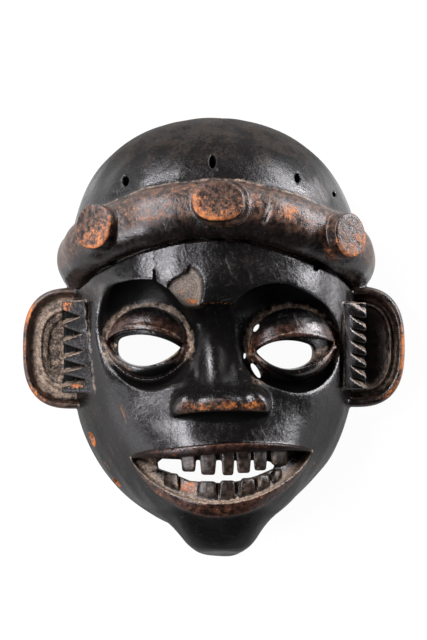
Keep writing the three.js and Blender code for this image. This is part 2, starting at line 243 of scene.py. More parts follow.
def eyeball(f, x, y, z, eye):
    """The ball, cut down by a lid's thickness inside the almond, with a roll along each lid: the
    distance in section from the edge of the almond on the ball's skin, less the roll's radius."""
    at, half, lean, tilt = eye["ball"]
    skin = ellipsoid(x, y, z, at, half, lean, tilt)
    inner = ellipsoid(x, y, z, at, grown(half, -LID), lean, tilt)
    inside, below, above, t = almond(x, y, *eye["almond"])
    swell = np.sin(np.pi * np.clip(t, 0.02, 0.98)) ** 0.5
    ball = skin
    for beyond, (over, out, radius, soft) in zip((below, above), LID_ROLLS):
        ball = join(ball, np.hypot(beyond - over, skin - out) - radius * swell, soft)
    ball = join(cut(ball, inside, 0.8), inner, 0.6)
    return join(f, ball, 1)


@carve((-85, -45, 30), (0, 40, 100))
def left_eyeball(f, x, y, z):
    """The ball and lids in the left socket."""
    return eyeball(f, x, y, z, EYES["left"])


@carve((5, -45, 30), (90, 40, 100))
def right_eyeball(f, x, y, z):
    """The ball and lids in the right socket."""
    return eyeball(f, x, y, z, EYES["right"])


# The nose. It rises from a deep root between the eyes to a broad base with two blunt wings, whose
# front is a narrow band worn to bare wood, with a hollow shadowed underside.
BRIDGE = np.array([
    (40, -2, 0.046), (16, -1.6, 0.060), (6, -1.2, 0.070), (-6, -0.8, 0.074),
    (-18, 0.2, 0.068), (-28, 1.6, 0.052), (-36, 3, 0.042), (-60, 3.5, 0.045),
])
ROOT_Y, ROOT_Z, ROOT_SLOPE, STEEPENING = 16, 68.5, 0.29, 0.0049
WINGS = (
    ((-16.6, -40.4, 86), (9, 9.4, 14), 0.2), ((25, -39.2, 86), (8.6, 9.4, 14.2), -0.2),
)
NOSE_BAR = ((3.6, -40.6, 84), (25.5, 9.6, 18))
UNDER_NOSE = ((3.6, -52, 104), (31, 10, 14.5))
BRIDGE_END_Y = -48
FRONT_TOP, FRONT_Y, FRONT_LEAN, FRONT_BEND = 101.6, -37, 0.42, 0.0035
EDGE_Y, EDGE_SLANT, EDGE_BEND, EDGE_LEAN = -43.6, 0.03, 0.0016, 0.14


def bridge_height(x, y):
    """A parabola across, its middle and narrowness drawn from stations down the nose, its top
    steepening steadily from the root to the tip."""
    across = x - np.interp(-y, -BRIDGE[:, 0], BRIDGE[:, 1])
    down = ROOT_Y - y
    top = ROOT_Z + (ROOT_SLOPE + STEEPENING * np.maximum(down, 0)) * down
    return top - np.interp(-y, -BRIDGE[:, 0], BRIDGE[:, 2]) * across * across


def above_height(x, y, z, height):
    """Height over a surface, over the square root of 1 plus its slopes squared."""
    h, d = height(x, y), 0.5
    slope = 1 + ((height(x + d, y) - h) / d) ** 2 + ((height(x, y + d) - h) / d) ** 2
    return (z - h) / np.sqrt(slope)


def nose_front(x, y, z):
    """The face of the worn band: a plane leaning back towards the lip, bent back by the square
    of the distance across."""
    return (z - FRONT_TOP - FRONT_LEAN * (y - FRONT_Y) + FRONT_BEND * (x - 3.5) ** 2) * 0.92


@carve((-45, -62, 50), (50, 45, 125))
def nose(f, x, y, z):
    """The bridge run into a bar with a wing at each end, all of it cut off at the worn front and
    along a curved lower edge."""
    f = cut(f, ellipsoid(x, y, z, *UNDER_NOSE), 7)
    bridge = both(above_height(x, y, z, bridge_height), BRIDGE_END_Y - y, 2)
    base = ellipsoid(x, y, z, *NOSE_BAR)
    for at, half, shear in WINGS:
        base = join(base, ellipsoid(x - shear * (y - at[1]), y, z, at, half), 5)
    shape = join(bridge, base, 6)
    shape = both(shape, nose_front(x, y, z), 1.6)
    lower_edge = EDGE_Y + EDGE_SLANT * x - EDGE_BEND * (x - 4) ** 2 - EDGE_LEAN * (100 - z)
    shape = both(shape, (lower_edge - y) * 0.92, 0.9)
    return join(f, shape, 2 + 5 * ramp(y, -40, -26))


# The mouth. Two lips stand proud round a wide grin, a flat upper one with a sharp top edge and a
# thick lower one. Behind them the wood is sunk to the gums, and between the teeth a gap goes right
# through.
MOUTH_LEFT, MOUTH_RIGHT = (-49.7, -73), (58.3, -69.5)
UPPER_RISE, LOWER_DROP, LOWER_FULLNESS = 2.4, 26.8, 0.8
UPPER_LIP_WIDTH, UPPER_LIP_ENDS, UPPER_LIFT, UPPER_SLOPE = 5.6, 0.45, 1.4, 0.36
LOWER_LIP_WIDTH, LOWER_LIP_ENDS, LOWER_LIFT = 9.1, 0.6, 3.2
LOWER_GUM, LOWER_GUM_SLOPE, UPPER_GUM, UPPER_GUM_SLOPE = 3.2, 0.55, 6, 0.4
TOOTH_GAP = np.array([
    (-33.5, -79.5), (-24.5, -82), (-14.5, -86), (3, -87), (14, -86), (25, -83),
    (35, -79.3), (36, -76.5), (30, -73.5), (-31, -73), (-34, -75.5),
])


def mouth_edges(x):
    """How far across the mouth from -1 to 1, and the heights of its upper and lower edges there."""
    t = np.clip(2 * (x - MOUTH_LEFT[0]) / (MOUTH_RIGHT[0] - MOUTH_LEFT[0]) - 1, -1, 1)
    line = lerp(MOUTH_LEFT[1], MOUTH_RIGHT[1], (t + 1) / 2)
    room = 1 - t * t
    top = line + (UPPER_RISE + UPPER_RISE * t) * room
    return t, top, line - LOWER_DROP * room**LOWER_FULLNESS


def past_corners(x):
    """How far a place is past either corner of the mouth."""
    return np.abs(x - np.clip(x, MOUTH_LEFT[0], MOUTH_RIGHT[0]))


def polygon(x, y, corners):
    """Signed distance in plan to a closed outline: the least distance to its sides, negative where
    a ray crosses them an odd number of times."""
    best = np.full(np.shape(x), 1e9)
    odd = np.zeros(np.shape(x), bool)
    for (ax, ay), (bx, by) in zip(corners, np.roll(corners, -1, axis=0)):
        along = np.clip(((x - ax) * (bx - ax) + (y - ay) * (by - ay))
                        / ((bx - ax) ** 2 + (by - ay) ** 2), 0, 1)
        best = np.minimum(best, np.hypot(x - ax - along * (bx - ax), y - ay - along * (by - ay)))
        crosses = (ay > y) != (by > y)
        odd ^= crosses & (x < ax + (y - ay) * (bx - ax) / (by - ay if by != ay else 1e-9))
    return np.where(odd, -best, best)


def lips(x, y, shape):
    """The upper and lower lip: a strip in plan beside its edge of the mouth, met by the head's
    field less how far the lip stands out of it."""
    t, top, bottom = mouth_edges(x)
    room = 1 - t * t
    upper = np.maximum(y - top - (UPPER_LIP_WIDTH - t) * room**UPPER_LIP_ENDS, top - y - 1)
    lower = np.maximum(bottom - y - LOWER_LIP_WIDTH * room**LOWER_LIP_ENDS, y - bottom - 1)
    upper = both(upper, shape - UPPER_LIFT - UPPER_SLOPE * np.clip(y - top, 0, 7), 0.8)
    past = past_corners(x)
    return upper + past, both(lower, shape - LOWER_LIFT, 2) + past


def mouth_opening(x, y):
    """Distance in plan outside the edges of the mouth."""
    _, top, bottom = mouth_edges(x)
    return np.maximum(y - top, bottom - y) * 0.85 + past_corners(x)


@carve((-75, -125, 30), (80, -50, 125))
def mouth(f, x, y, z):
    """Both lips, then the sunk gums, which slope in from the edges of the mouth."""
    _, top, bottom = mouth_edges(x)
    shape = form(x, y, z)
    upper, lower = lips(x, y, shape)
    f = join(f, upper, 0.8)
    f = join(f, lower, 1)
    depth = np.minimum(LOWER_GUM + LOWER_GUM_SLOPE * np.clip(y - bottom, 0, 9),
                       UPPER_GUM + UPPER_GUM_SLOPE * np.clip(top - y, 0, 9))
    return cut(f, both(mouth_opening(x, y), -(shape + depth), 2), 0.9)


# The roll round the forehead, like a rolled cloth or cord, on a thin ledge. Three flat-ended pegs
# stand out of it, all left in the same wood, worn through the black to orange on their edges.
BAND_PATH = np.array([
    (-81.5, 42, 8), (-82.5, 46.5, 27), (-75.5, 54.5, 48), (-60, 61.8, 64), (-40, 69, 75),
    (-20, 73.2, 79.5), (0, 74.5, 80.5), (20, 73, 79.5), (40, 68, 74.5), (60, 61.2, 63),
    (78, 53.6, 46), (85, 46.8, 27), (84, 42, 8),
], float)
BAND_HALF_WIDTH, BAND_HALF_HEIGHT, BAND_ENDS = 16.8, 13.2, 14
BAND_STEPS = 72
LEDGE, GROOVE = (-5.5, -4, 15, 9, 16), (14.6, 0, 4.4, 6.5, 4)
SCAR = ((31.6, 72.6), (1.2, 6.2), 0.38, 1.4)


def smooth_path(points, steps):
    """A Catmull-Rom curve through the points, at even steps along it, and its length."""
    padded = np.vstack([2 * points[0] - points[1], points, 2 * points[-1] - points[-2]])
    t = np.linspace(0, len(points) - 1 - 1e-6, 12 * steps)
    i, u = t.astype(int), (t % 1)[:, None]
    a, b, c, d = (padded[i + k] for k in range(4))
    curve = 0.5 * (2 * b + (c - a) * u + (2 * a - 5 * b + 4 * c - d) * u**2
                   + (3 * b - a - 3 * c + d) * u**3)
    run = np.concatenate([[0], np.cumsum(np.linalg.norm(np.diff(curve, axis=0), axis=1))])
    return np.stack([np.interp(np.linspace(0, run[-1], steps), run, curve[:, k])
                     for k in range(3)], axis=1), run[-1]


# At each step of the roll's line: the way along it, the way out of the head, squared up to it and
# taken from the slope of the head's field, and the way across.
band_line, band_length = smooth_path(BAND_PATH, BAND_STEPS)
band_along = np.gradient(band_line, axis=0)
band_along /= np.linalg.norm(band_along, axis=1)[:, None]
band_out = np.stack([form(*(band_line + 0.5 * step).T) - form(*(band_line - 0.5 * step).T)
                     for step in np.eye(3)], axis=1)
band_out -= band_along * np.sum(band_out * band_along, axis=1)[:, None]
band_out /= np.linalg.norm(band_out, axis=1)[:, None]
band_side = np.cross(band_along, band_out)


def band_place(x, y, z):
    """Place beside the band's line: across it, out from the head, how far past its ends, and the
    place along it in steps: the nearest step, and from there on the distance along over a
    step's length."""
    p = np.stack([x, y, z], axis=-1)
    gap = np.full(len(p), 1e18)
    step = np.zeros(len(p), int)
    for i, c in enumerate(band_line):
        d = np.sum((p - c) ** 2, axis=1)
        step = np.where(d < gap, i, step)
        gap = np.minimum(gap, d)
    spacing = band_length / (BAND_STEPS - 1)
    on = step + np.sum((p - band_line[step]) * band_along[step], axis=1) / spacing
    place = np.clip(on, 0, BAND_STEPS - 1)
    steps = np.arange(BAND_STEPS)
    at, out, side = (np.stack([np.interp(place, steps, a[:, k]) for k in range(3)], axis=-1)
                     for a in (band_line, band_out, band_side))
    d = p - at
    return np.sum(d * side, axis=1), np.sum(d * out, axis=1), (on - place) * spacing, place


def band_fields(x, y, z):
    """The roll, the ledge over it and the groove under it: length of the place across each over
    its half sizes, less 1, times a half size. Then the place across the roll and along it, and
    how deep in the scar on it."""
    across, out, past, place = band_place(x, y, z)
    uneven = 1 + 0.022 * np.sin(place * 0.55) + 0.014 * np.sin(place * 1.3 + 1)
    r = np.sqrt((across / (BAND_HALF_WIDTH * uneven)) ** 2
                + (out / (BAND_HALF_HEIGHT * uneven)) ** 2 + (past / BAND_ENDS) ** 2)
    (at_x, at_y), (half_width, half_length), turn, depth = SCAR
    u, v = spun(x - at_x, y - at_y, turn)
    scar = np.exp(-((u / half_width) ** 2) - (v / half_length) ** 4)
    roll = (r - 1) * BAND_HALF_HEIGHT + depth * scar
    side_rods = []
    for at_across, at_out, half_across, half_out, half_past in (LEDGE, GROOVE):
        r = np.hypot(np.hypot((across - at_across) / half_across, (out - at_out) / half_out),
                     past / half_past)
        side_rods.append((r - 1) * min(half_across, half_out))
    return roll, *side_rods, across, place, scar


@carve((-112, 15, -10), (112, 108, 112))
def band(f, x, y, z):
    """The groove is cut first, and the ledge and the roll are joined on over it."""
    roll, ledge, groove = band_fields(x, y, z)[:3]
    return join(join(cut(f, groove, 2), ledge, 1.5), roll, 1)


PEGS = (
    ((-72.2, 65, 81.5), (-0.52, 0.1, 0.85), 12.2, 13.4, 2.25, 0.16),
    ((2.2, 79.4, 99.5), (0.02, 0.2, 0.98), 15.3, 12, 2.3, 0),
    ((81.2, 60, 74.5), (0.60, 0.02, 0.80), 11.4, 13.2, 2.25, -0.36),
)
PEG_LENGTH = 26
PEG_COLLARS = (
    ((5.8, 78.6, 93.6), (0.05, 0.2, 0.98), 15.2, 13.4, 2.6, 0),
    ((75.4, 59.6, 67.5), (0.55, 0.04, 0.83), 13.6, 14, 2.3, -0.36),
)


def peg_field(x, y, z, face, axis, across, along, square, turn):
    """A rod with a superellipse outline leaning by turn: the radius over its half sizes, less 1,
    met by the depth under its face and by its length. Second and third, that radius and depth."""
    axis = np.array(axis) / np.linalg.norm(axis)
    right = np.cross((0, 1, 0), axis)
    right /= np.linalg.norm(right)
    up = np.cross(axis, right)
    d = (x - face[0], y - face[1], z - face[2])
    u, v, w = (sum(c * k for c, k in zip(d, n)) for n in (right, up, axis))
    u, v = spun(u, v, turn)
    r = (superellipse(u / across, v / along, square) - 1) * min(across, along)
    return both(both(r, w, 1.6), -w - PEG_LENGTH, 1), r, w


@carve((-98, 40, 30), (108, 104, 112))
def pegs(f, x, y, z):
    """The collars that two pegs stand in, and then the pegs."""
    for rod in PEG_COLLARS + PEGS:
        f = join(f, peg_field(x, y, z, *rod)[0], 0.8)
    return f


# The ears. Half-round plates at each side, dished inside a raised rim, with a second ridge round a
# deeper bowl. Between each ear and the face stands a strip notched into a row of blunt teeth.
EARS = (
    (-86.3, -7.8, -1, np.array([
        (0, 22.5), (0.9, 25), (2.2, 25.6), (3.4, 24.8), (4.6, 20.4), (6.5, 18.6), (9.4, 19.8),
        (10.8, 22.4), (11.8, 22.8), (13, 21.2), (16, 20), (17.6, 17.6), (24, 15.8), (40, 15),
    ])),
    (85.4, -6.8, 1, np.array([
        (0, 22.5), (0.9, 25), (2.4, 25.8), (4.2, 25.2), (5.4, 21), (6.8, 19.4), (7.9, 20),
        (8.8, 23.4), (9.6, 23.6), (10.6, 21.6), (14, 19), (20, 16.4), (26, 15.2), (40, 14.6),
    ])),
)
EAR_HALF, EAR_SQUARENESS, EAR_BACK, EAR_ROUGHNESS = (31, 37), 2.7, 9, 0.35


def ear_inset(x, y, at_x, at_y):
    """How far inside the rounded outline: 1 less the superellipse radius, times about its mean
    half size."""
    r = superellipse((x - at_x) / EAR_HALF[0], (y - at_y) / EAR_HALF[1], EAR_SQUARENESS)
    return (1 - r) * 33


def ear_plate(x, y, z, at_x, at_y, side, profile):
    """The depth under a profile drawn from the rim inwards, met by the outline and by a plane
    across the ear's back, on one side of the face only. Second, how far inside the outline."""
    inset = ear_inset(x, y, at_x, at_y)
    top = np.interp(inset, profile[:, 0], profile[:, 1])
    rough = EAR_ROUGHNESS * waver(x, y, z, 5) * ramp(inset, 4, 16)
    plate = both(both(0.85 * (z - top + rough), -inset, 1), EAR_BACK - z, 2)
    return np.where(x * side > 0, plate, 50), inset


@carve((-130, -58, -5), (130, 44, 45))
def ears(f, x, y, z):
    """Both plates, run into the head."""
    for ear in EARS:
        f = join(f, ear_plate(x, y, z, *ear)[0], 1.5)
    return f


NOTCH_APEX = 3.2
COMBS = (
    (-1, 75.8, 48.5, 0.6, 0.1, 92.3, 21, (9.4, 10.4, 10.2, 9.4, 8.4, 7.6), 0.42, 0.26, 0),
    (1, 78.4, 46.5, 0.34, 0, 92, 20, (7.6, 7.6, 7.5, 7.5, 7.4, 7.4, 7.4), 0.22, 0.2, 0.5),
)


def comb_field(x, y, z, side, inner, ridge, fall, slant, outer, top, steps, upper_cut, lower_cut,
               droop):
    """A strip with a sloping roof, less a wedge under each tooth that opens and droops from its
    apex near the inner side to its mouth at the outer one, its floor rising from deep inside."""
    out = x * side
    inner = inner + slant * (y + 6)
    wide = np.clip((out - inner - NOTCH_APEX) / (outer - inner - NOTCH_APEX), 0, 2)
    roof = ridge - fall * (out - inner)
    if droop:
        place = (top - y - droop * steps[0] * wide) / steps[0]
        roof -= 3.4 * wide * (2 * (place - np.floor(place)) - 0.9) ** 2
    strip = np.maximum(np.maximum(y - top, top - sum(steps) - y), out - outer)
    strip = both(both(strip, (z - roof) * 0.82, 0.8), np.maximum(inner - 0.6 - out, 18 - z), 0.8)
    deep = np.maximum(roof - z, 0)
    at = top
    for step in steps[:-1]:
        at -= step
        middle = at - droop * step * wide
        upper = y - (middle + upper_cut * step * wide + 0.12 * deep)
        lower = (middle - lower_cut * step * wide - 0.24 * np.maximum(9 - deep, 0) * wide) - y
        apex = (inner + NOTCH_APEX - out + 0.1 * deep) * 0.9
        notch = np.maximum(np.maximum(upper, lower) * 0.85, apex)
        strip = cut(strip, np.maximum(notch, 22 - z), 0.5)
    return strip


@carve((-100, -46, 5), (100, 32, 66))
def combs(f, x, y, z):
    """Both strips, run into the plates of the ears."""
    for comb in COMBS:
        f = join(f, comb_field(x, y, z, *comb), 0.8)
    return f


# The hollow behind the face, and the holes right through it: both eyes, the gap between the teeth,
# and the slits where the wood beside the right eye has worn through.
HOLLOW_HEIGHT, WALL, CUP_WALL = 67, 10.5, 6
SLIT_TOP = 84
WORN_SLITS = (
    (25, 4.7, 1.2, 2.7, 0.64), (18, -11.9, 0.75, 1.9, 0.1), (24.6, -20.8, 1.6, 5.2, -0.55),
)


def hollow_field(x, y, z):
    """The head drawn in by the wall, with the muzzle's hollow run into it, less each socket's
    ellipsoid grown by the thickness of its cup."""
    f = head(x, y, z, HOLLOW_HEIGHT, WALL)
    at, half, soft = MUZZLE
    f = join(f, ellipsoid(x, y, z, at, grown(half, -1.5 * WALL)), soft)
    for eye in EYES.values():
        at, half, lean, tilt = eye["socket"][:4]
        f = cut(f, ellipsoid(x, y, z, at, grown(half, CUP_WALL), lean, tilt), 8)
    return f


@carve((-130, -150, -20), (130, 150, 80))
def hollow(f, x, y, z):
    """The inside, left wavy by the gouge."""
    return cut(f, hollow_field(x, y, z) + 0.5 * waver(x, y, z, 14), 2)


@carve((-70, -30, 20), (75, 20, 115))
def eye_holes(f, x, y, z):
    """A smaller almond through each ball, blunt at one end, and the slits as ellipses in plan."""
    for eye in EYES.values():
        side, end = eye["blunt"]
        f = cut(f, both(almond(x, y, *eye["hole"])[0], side * x - end, 3), 1.2)
    for at_x, at_y, half_width, half_length, turn in WORN_SLITS:
        u, v = spun(x - at_x, y - at_y, turn)
        slit = (np.sqrt((u / half_width) ** 2 + (v / half_length) ** 2) - 1) * half_width
        f = cut(f, np.maximum(slit, z - SLIT_TOP), 0.5)
    return f


@carve((-45, -98, 20), (48, -62, 115))
def tooth_gap(f, x, y, z):
    """The gap behind the teeth, cut straight through."""
    return cut(f, polygon(x, y, TOOTH_GAP), 1.4)


# The teeth. Separate tapering pegs hang from the upper gum and squarer ones stand on the lower.
# One is missing at the upper left, and two at the lower left are broken down to stubs.
UPPER_TEETH = (
    (-19.9, -10.6, -80.2), (-8.7, 1.2, -81.9), (4, 11.8, -82.1), (12.7, 21.7, -80.9),
    (22.9, 31.3, -79.6), (33.2, 43.6, -76.8),
)
LOWER_TEETH = (
    (-29.9, -20.8, -81.6), (-10, 1.7, -85.8), (2.6, 12.6, -85.3), (14.9, 24.6, -84),
    (25.2, 33, -82), (34.8, 40, -79.6),
)
TOOTH_SUNK, TOOTH_DEPTH = 4.2, 8.5
TOOTH_TAPER, TOOTH_LEAN, TOOTH_ROUGHNESS = 0.2, 1.4, 0.12


def tooth_field(x, y, shape, left, right, edge, root):
    """A box between two depths under the head's skin, its corners rounded over. Its sides draw in
    with the square of how near the biting edge is, and its front falls back with the cube."""
    middle = (left + right) / 2
    to_edge = np.clip((y - root) / (edge - root), 0, 1.2)
    half = (right - left) / 2 * (1 - TOOTH_TAPER * to_edge**2)
    sides = np.abs(x - middle) - half
    ends = np.abs(y - (root + edge) / 2) - abs(edge - root) / 2
    front = shape + TOOTH_SUNK + TOOTH_LEAN * to_edge**3
    front = front + TOOTH_ROUGHNESS * waver(x, y, shape, 5)
    depth = np.maximum(front, -(shape + TOOTH_SUNK + TOOTH_DEPTH))
    return both(both(sides, ends, 1.4), depth, 1.3)


def all_teeth(x, y, shape):
    """The nearest of all the teeth, each rooted in its edge of the mouth."""
    f = np.full(np.shape(x), 50.0)
    for row, lip, root_in in ((UPPER_TEETH, 0, 3), (LOWER_TEETH, 1, -1)):
        for left, right, edge in row:
            root = mouth_edges((left + right) / 2)[1 + lip] + root_in
            f = np.minimum(f, tooth_field(x, y, shape, left, right, edge, root))
    return f


@carve((-45, -112, 50), (55, -55, 110))
def teeth(f, x, y, z):
    """All of them, run into the gums."""
    return join(f, all_teeth(x, y, form(x, y, z)), 0.7)


# Wear. Holes pierced slanting into the crown, a crack and a big chip on the forehead, and bites out
# of the edge of the jaw.
CROWN_HOLES = (
    (-53.2, 93, 1.8, 3.2), (-1.2, 104, 2, 4.4), (49.8, 95, 1.6, 3), (72.6, 86, 1.1, 1.7),
)
HOLE_LEAN, HOLE_SPREAD, HOLE_SQUARENESS, HOLE_DEPTH = 0.55, 90, 1.6, 14
CHIP = np.array([
    (-27.8, 29.6), (-25.6, 32.2), (-19.8, 35.9), (-16.6, 37), (-15.6, 40.4), (-13.2, 42.2),
    (-10, 40.4), (-6.6, 35.8), (-5.4, 30), (-5.4, 24), (-6.6, 18.5), (-11, 15.4),
    (-20, 15.8), (-26.5, 22.5),
])
CHIP_DEPTH, CHIP_SLOPE, CHIP_THINNING, CHIP_THIN_BELOW = 3.6, 1.1, 0.1, 34
CHIP_SLOPING = np.array([(-60, 64), (-13.2, 42.2), (-10, 40.4), (-6.6, 35.8), (-5.4, 30),
                         (-5.4, 24), (-6.6, 18.5), (-11, -20), (-60, -20)])
PITS = ((61.8, 41.8, 3, 2.4, 7), (3, 56.6, 0.9, 1.2, 3), (-60.5, 43.8, 1, 1, 3))
CRACK_X, CRACK_Y, CRACK_LEAN, CRACK_HALF_WIDTH, CRACK_DEPTH = -35.2, 34, 0.09, 0.62, 7
CRACK_LOW, CRACK_HIGH, CRACK_TAPER = 23.5, 41, 5
JAW_CHIPS = (((-75.5, -63.5, 32), (3.6, 4.4, 6)), ((-59.5, -89.5, 25), (3, 3, 6)))


@carve((-70, 75, 10), (90, 118, 90))
def crown_holes(f, x, y, z):
    """A superellipse in plan for each hole, which leans to the middle of the head with depth."""
    shape = form(x, y, z)
    lean = HOLE_LEAN * shape
    for at_x, at_y, half_width, half_length in CROWN_HOLES:
        u, v = x - at_x - lean * at_x / HOLE_SPREAD, y - at_y - lean
        r = superellipse(u / half_width, v / half_length, HOLE_SQUARENESS)
        f = cut(f, np.maximum((r - 1) * half_width, -shape - HOLE_DEPTH), 0.9)
    return f


def chip_depth(x, y):
    """How deep the chip is: sloping in from its right side, shallower again towards the brow."""
    slope = -CHIP_SLOPE * polygon(x, y, CHIP_SLOPING)
    thinner = CHIP_THINNING * np.clip(CHIP_THIN_BELOW - y, 0, 12)
    return np.clip(slope, 0, CHIP_DEPTH) - thinner


def crack_side(x, y):
    """How far a place is to the right of the crack, which leans a little."""
    return x - CRACK_X + CRACK_LEAN * (y - CRACK_Y)


@carve((-48, 5, 50), (0, 52, 110))
def chip_and_crack(f, x, y, z):
    """The chip by its outline and depth, and the crack as a slot that narrows to both its ends."""
    shape = form(x, y, z)
    f = cut(f, both(polygon(x, y, CHIP), -(shape + chip_depth(x, y)), 0.5), 0.4)
    narrow = (np.clip((y - CRACK_LOW) / CRACK_TAPER, 0, 1)
              * np.clip((CRACK_HIGH - y) / CRACK_TAPER, 0, 1))
    slot = np.abs(crack_side(x, y)) - CRACK_HALF_WIDTH * narrow
    return cut(f, np.maximum(slot, -shape - CRACK_DEPTH - 8 * (y < 30)), 0.4)


@carve((-65, 35, 40), (68, 62, 110))
def pits(f, x, y, z):
    """An ellipse in plan for each pit, its edge waving three times round."""
    shape = form(x, y, z)
    for at_x, at_y, half_width, half_length, depth in PITS:
        r = np.hypot((x - at_x) / half_width, (y - at_y) / half_length)
        ragged = 0.3 * half_width * np.sin(3 * np.arctan2(y - at_y, x - at_x) + at_x)
        f = cut(f, np.maximum((r - 1) * half_width + ragged, -shape - depth), 0.5)
    return f


@carve((-88, -105, 8), (-45, -50, 50))
def jaw_chips(f, x, y, z):
    """The bites, each as an ellipsoid."""
    for at, half in JAW_CHIPS:
        f = cut(f, ellipsoid(x, y, z, at, half), 0.8)
    return f


@carve((-130, -150, -20), (130, 150, 20))
def flat_rim(f, x, y, z):
    """The back, cut flat to lie on."""
    return both(f, -z, 1)


# The finished wood. The field is sampled close to the surface only, a net of faces is drawn through
# it, and faces that add nothing are merged away.
def wood(x, y, z):
    """All steps of the carving in turn, each on the points between its corners."""
    f = np.full(len(x), 50.0)
    for low, high, step in carving:
        inside = ((x > low[0]) & (x < high[0]) & (y > low[1]) & (y < high[1])
                  & (z > low[2]) & (z < high[2]))
        if inside.all():
            f = step(f, x, y, z)
        elif inside.any():
            f[inside] = step(f[inside], x[inside], y[inside], z[inside])
    return f


def wood_at(points, at_once=200_000):
    """The finished field at many points, worked out a share of them at a time."""
    return np.concatenate([wood(*points[i:i + at_once].T)
                           for i in range(0, len(points), at_once)])


MM = 0.001
PITCH = 0.75
BLOCK = 4
LOW, HIGH = np.array([-121, -139, -4]), np.array([121, 139, 108])


def sampled_field():
    """The field on a grid of points PITCH apart. Blocks whose middle is far from the surface keep
    that middle's sign."""
    blocks = np.ceil((HIGH - LOW) / (PITCH * BLOCK)).astype(int)
    corner = np.stack(np.meshgrid(*map(np.arange, blocks), indexing="ij"), -1).reshape(-1, 3)
    coarse = wood_at(LOW + (corner + 0.5) * BLOCK * PITCH)
    grid = np.repeat(np.repeat(np.repeat(
        np.where(coarse.reshape(blocks) < 0, -50, 50).astype(np.float32),
        BLOCK, 0), BLOCK, 1), BLOCK, 2)
    close = corner[np.abs(coarse) < 1.2 * BLOCK * PITCH + 1.2]
    offset = np.stack(np.meshgrid(*[np.arange(BLOCK)] * 3, indexing="ij"), -1).reshape(-1, 3)
    cells = (close[:, None, :] * BLOCK + offset).reshape(-1, 3)
    grid[tuple(cells.T)] = wood_at(LOW + cells * PITCH)
    return grid


CORNERS = np.array([(i, j, k) for i in (0, 1) for j in (0, 1) for k in (0, 1)])
EDGES = [(a, b) for a in range(8) for b in range(a + 1, 8)
         if np.abs(CORNERS[a] - CORNERS[b]).sum() == 1]


def net(grid):
    """One vertex in each cell that the surface passes through, at the mean of where it crosses the
    cell's edges, and one face round each crossed edge of the grid."""
    inside = grid < 0
    shape = np.array(grid.shape) - 1
    count = sum(inside[i:i + shape[0], j:j + shape[1], k:k + shape[2]].astype(np.int8)
                for i, j, k in CORNERS)
    cells = np.argwhere((count > 0) & (count < 8))
    number = np.full(shape, -1, np.int32)
    number[tuple(cells.T)] = np.arange(len(cells))
    values = np.stack([grid[tuple((cells + c).T)] for c in CORNERS], 1).astype(float)
    total, hits = np.zeros((len(cells), 3)), np.zeros(len(cells))
    for a, b in EDGES:
        crossed = (values[:, a] < 0) != (values[:, b] < 0)
        drop = np.where(crossed, values[:, a] - values[:, b], 1)
        share = np.where(crossed, values[:, a] / drop, 0)
        total += crossed[:, None] * (CORNERS[a] + share[:, None] * (CORNERS[b] - CORNERS[a]))
        hits += crossed
    points = LOW + (cells + total / hits[:, None]) * PITCH
    quads = []
    for axis in range(3):
        u, v = (axis + 1) % 3, (axis + 2) % 3
        start = [slice(1, -1)] * 3
        start[axis] = slice(0, -1)
        end = list(start)
        end[axis] = slice(1, None)
        here, there = inside[tuple(start)], inside[tuple(end)]
        at = np.argwhere(here != there)
        leaving = here[tuple(at.T)]
        at += np.array([0 if k == axis else 1 for k in range(3)])
        ring = []
        for du, dv in ((0, 0), (1, 0), (1, 1), (0, 1)):
            cell = at.copy()
            cell[:, u] -= du
            cell[:, v] -= dv
            ring.append(number[tuple(cell.T)])
        ring = np.stack(ring, 1)
        quads.append(np.where(leaving[:, None], ring, ring[:, ::-1]))
    return points, np.concatenate(quads)


def placed(name, data):
    """A new object of that name in the scene."""
    thing = bpy.data.objects.new(name, data)
    bpy.context.scene.collection.objects.link(thing)
    return thing


points, quads = net(sampled_field())
mesh = bpy.data.meshes.new("carved_mask")
mesh.from_pydata(points * MM, [], quads)
mesh.update()
mask = placed("carved_mask", mesh)

FACES, HOLLOW_FACES = 196_000, 36_000
HOLLOW_REACH = 1.6


def thinned(ratio, group=""):
    """Merges faces until only this share is left, from within the group first."""
    thin = mask.modifiers.new("thin", "DECIMATE")
    thin.ratio, thin.vertex_group = min(ratio, 1), group
    seen = mask.evaluated_get(bpy.context.evaluated_depsgraph_get())
    settled = bpy.data.meshes.new_from_object(seen)
    mask.modifiers.clear()
    mask.data = settled


plain = np.abs(hollow_field(*points.T)) < HOLLOW_REACH
mask.vertex_groups.new(name="plain").add(np.flatnonzero(plain).tolist(), 1.0, "REPLACE")
triangles = 2 * len(quads)
behind = triangles * plain.mean()
thinned(1 - (behind - HOLLOW_FACES) / triangles, "plain")
thinned(FACES / sum(len(f.vertices) - 2 for f in mask.data.polygons))
mask.vertex_groups.clear()
mask.data.polygons.foreach_set("use_smooth", np.ones(len(mask.data.polygons), bool))

# The finish. Years of smoke and oil have left a hard black skin, rubbed through to orange wood on
# edges and high places, brown on the roll and in the ears, with pale dust caught in the creases.
# Some light and shade is painted in as well: black for the shade in holes, notches and under
# overhangs, and a pale sheen where highlights fall.
count = len(mask.data.vertices)
flat = np.empty(3 * count, np.float32)
mask.data.vertices.foreach_get("co", flat)
place = flat.reshape(-1, 3).astype(float) / MM
mask.data.vertices.foreach_get("normal", flat)
normal = flat.reshape(-1, 3).astype(float)
x, y, z = place.T
shape = form(x, y, z)
PROBE = 0.4
steepness = (wood_at(place + PROBE * normal) - wood_at(place - PROBE * normal)) / (2 * PROBE)
steepness = np.maximum(steepness, 0.2)


def creased(reach):
    """How much nearer the wood is than it would be off flat ground, reach out from the surface."""
    return np.clip(1 - wood_at(place + reach * normal) / (reach * steepness), 0, 1)


def edged(reach):
    """How much thinner the wood is than under flat ground, reach down from the surface."""
    return np.clip(1 + wood_at(place - reach * normal) / (reach * steepness), 0, 1)


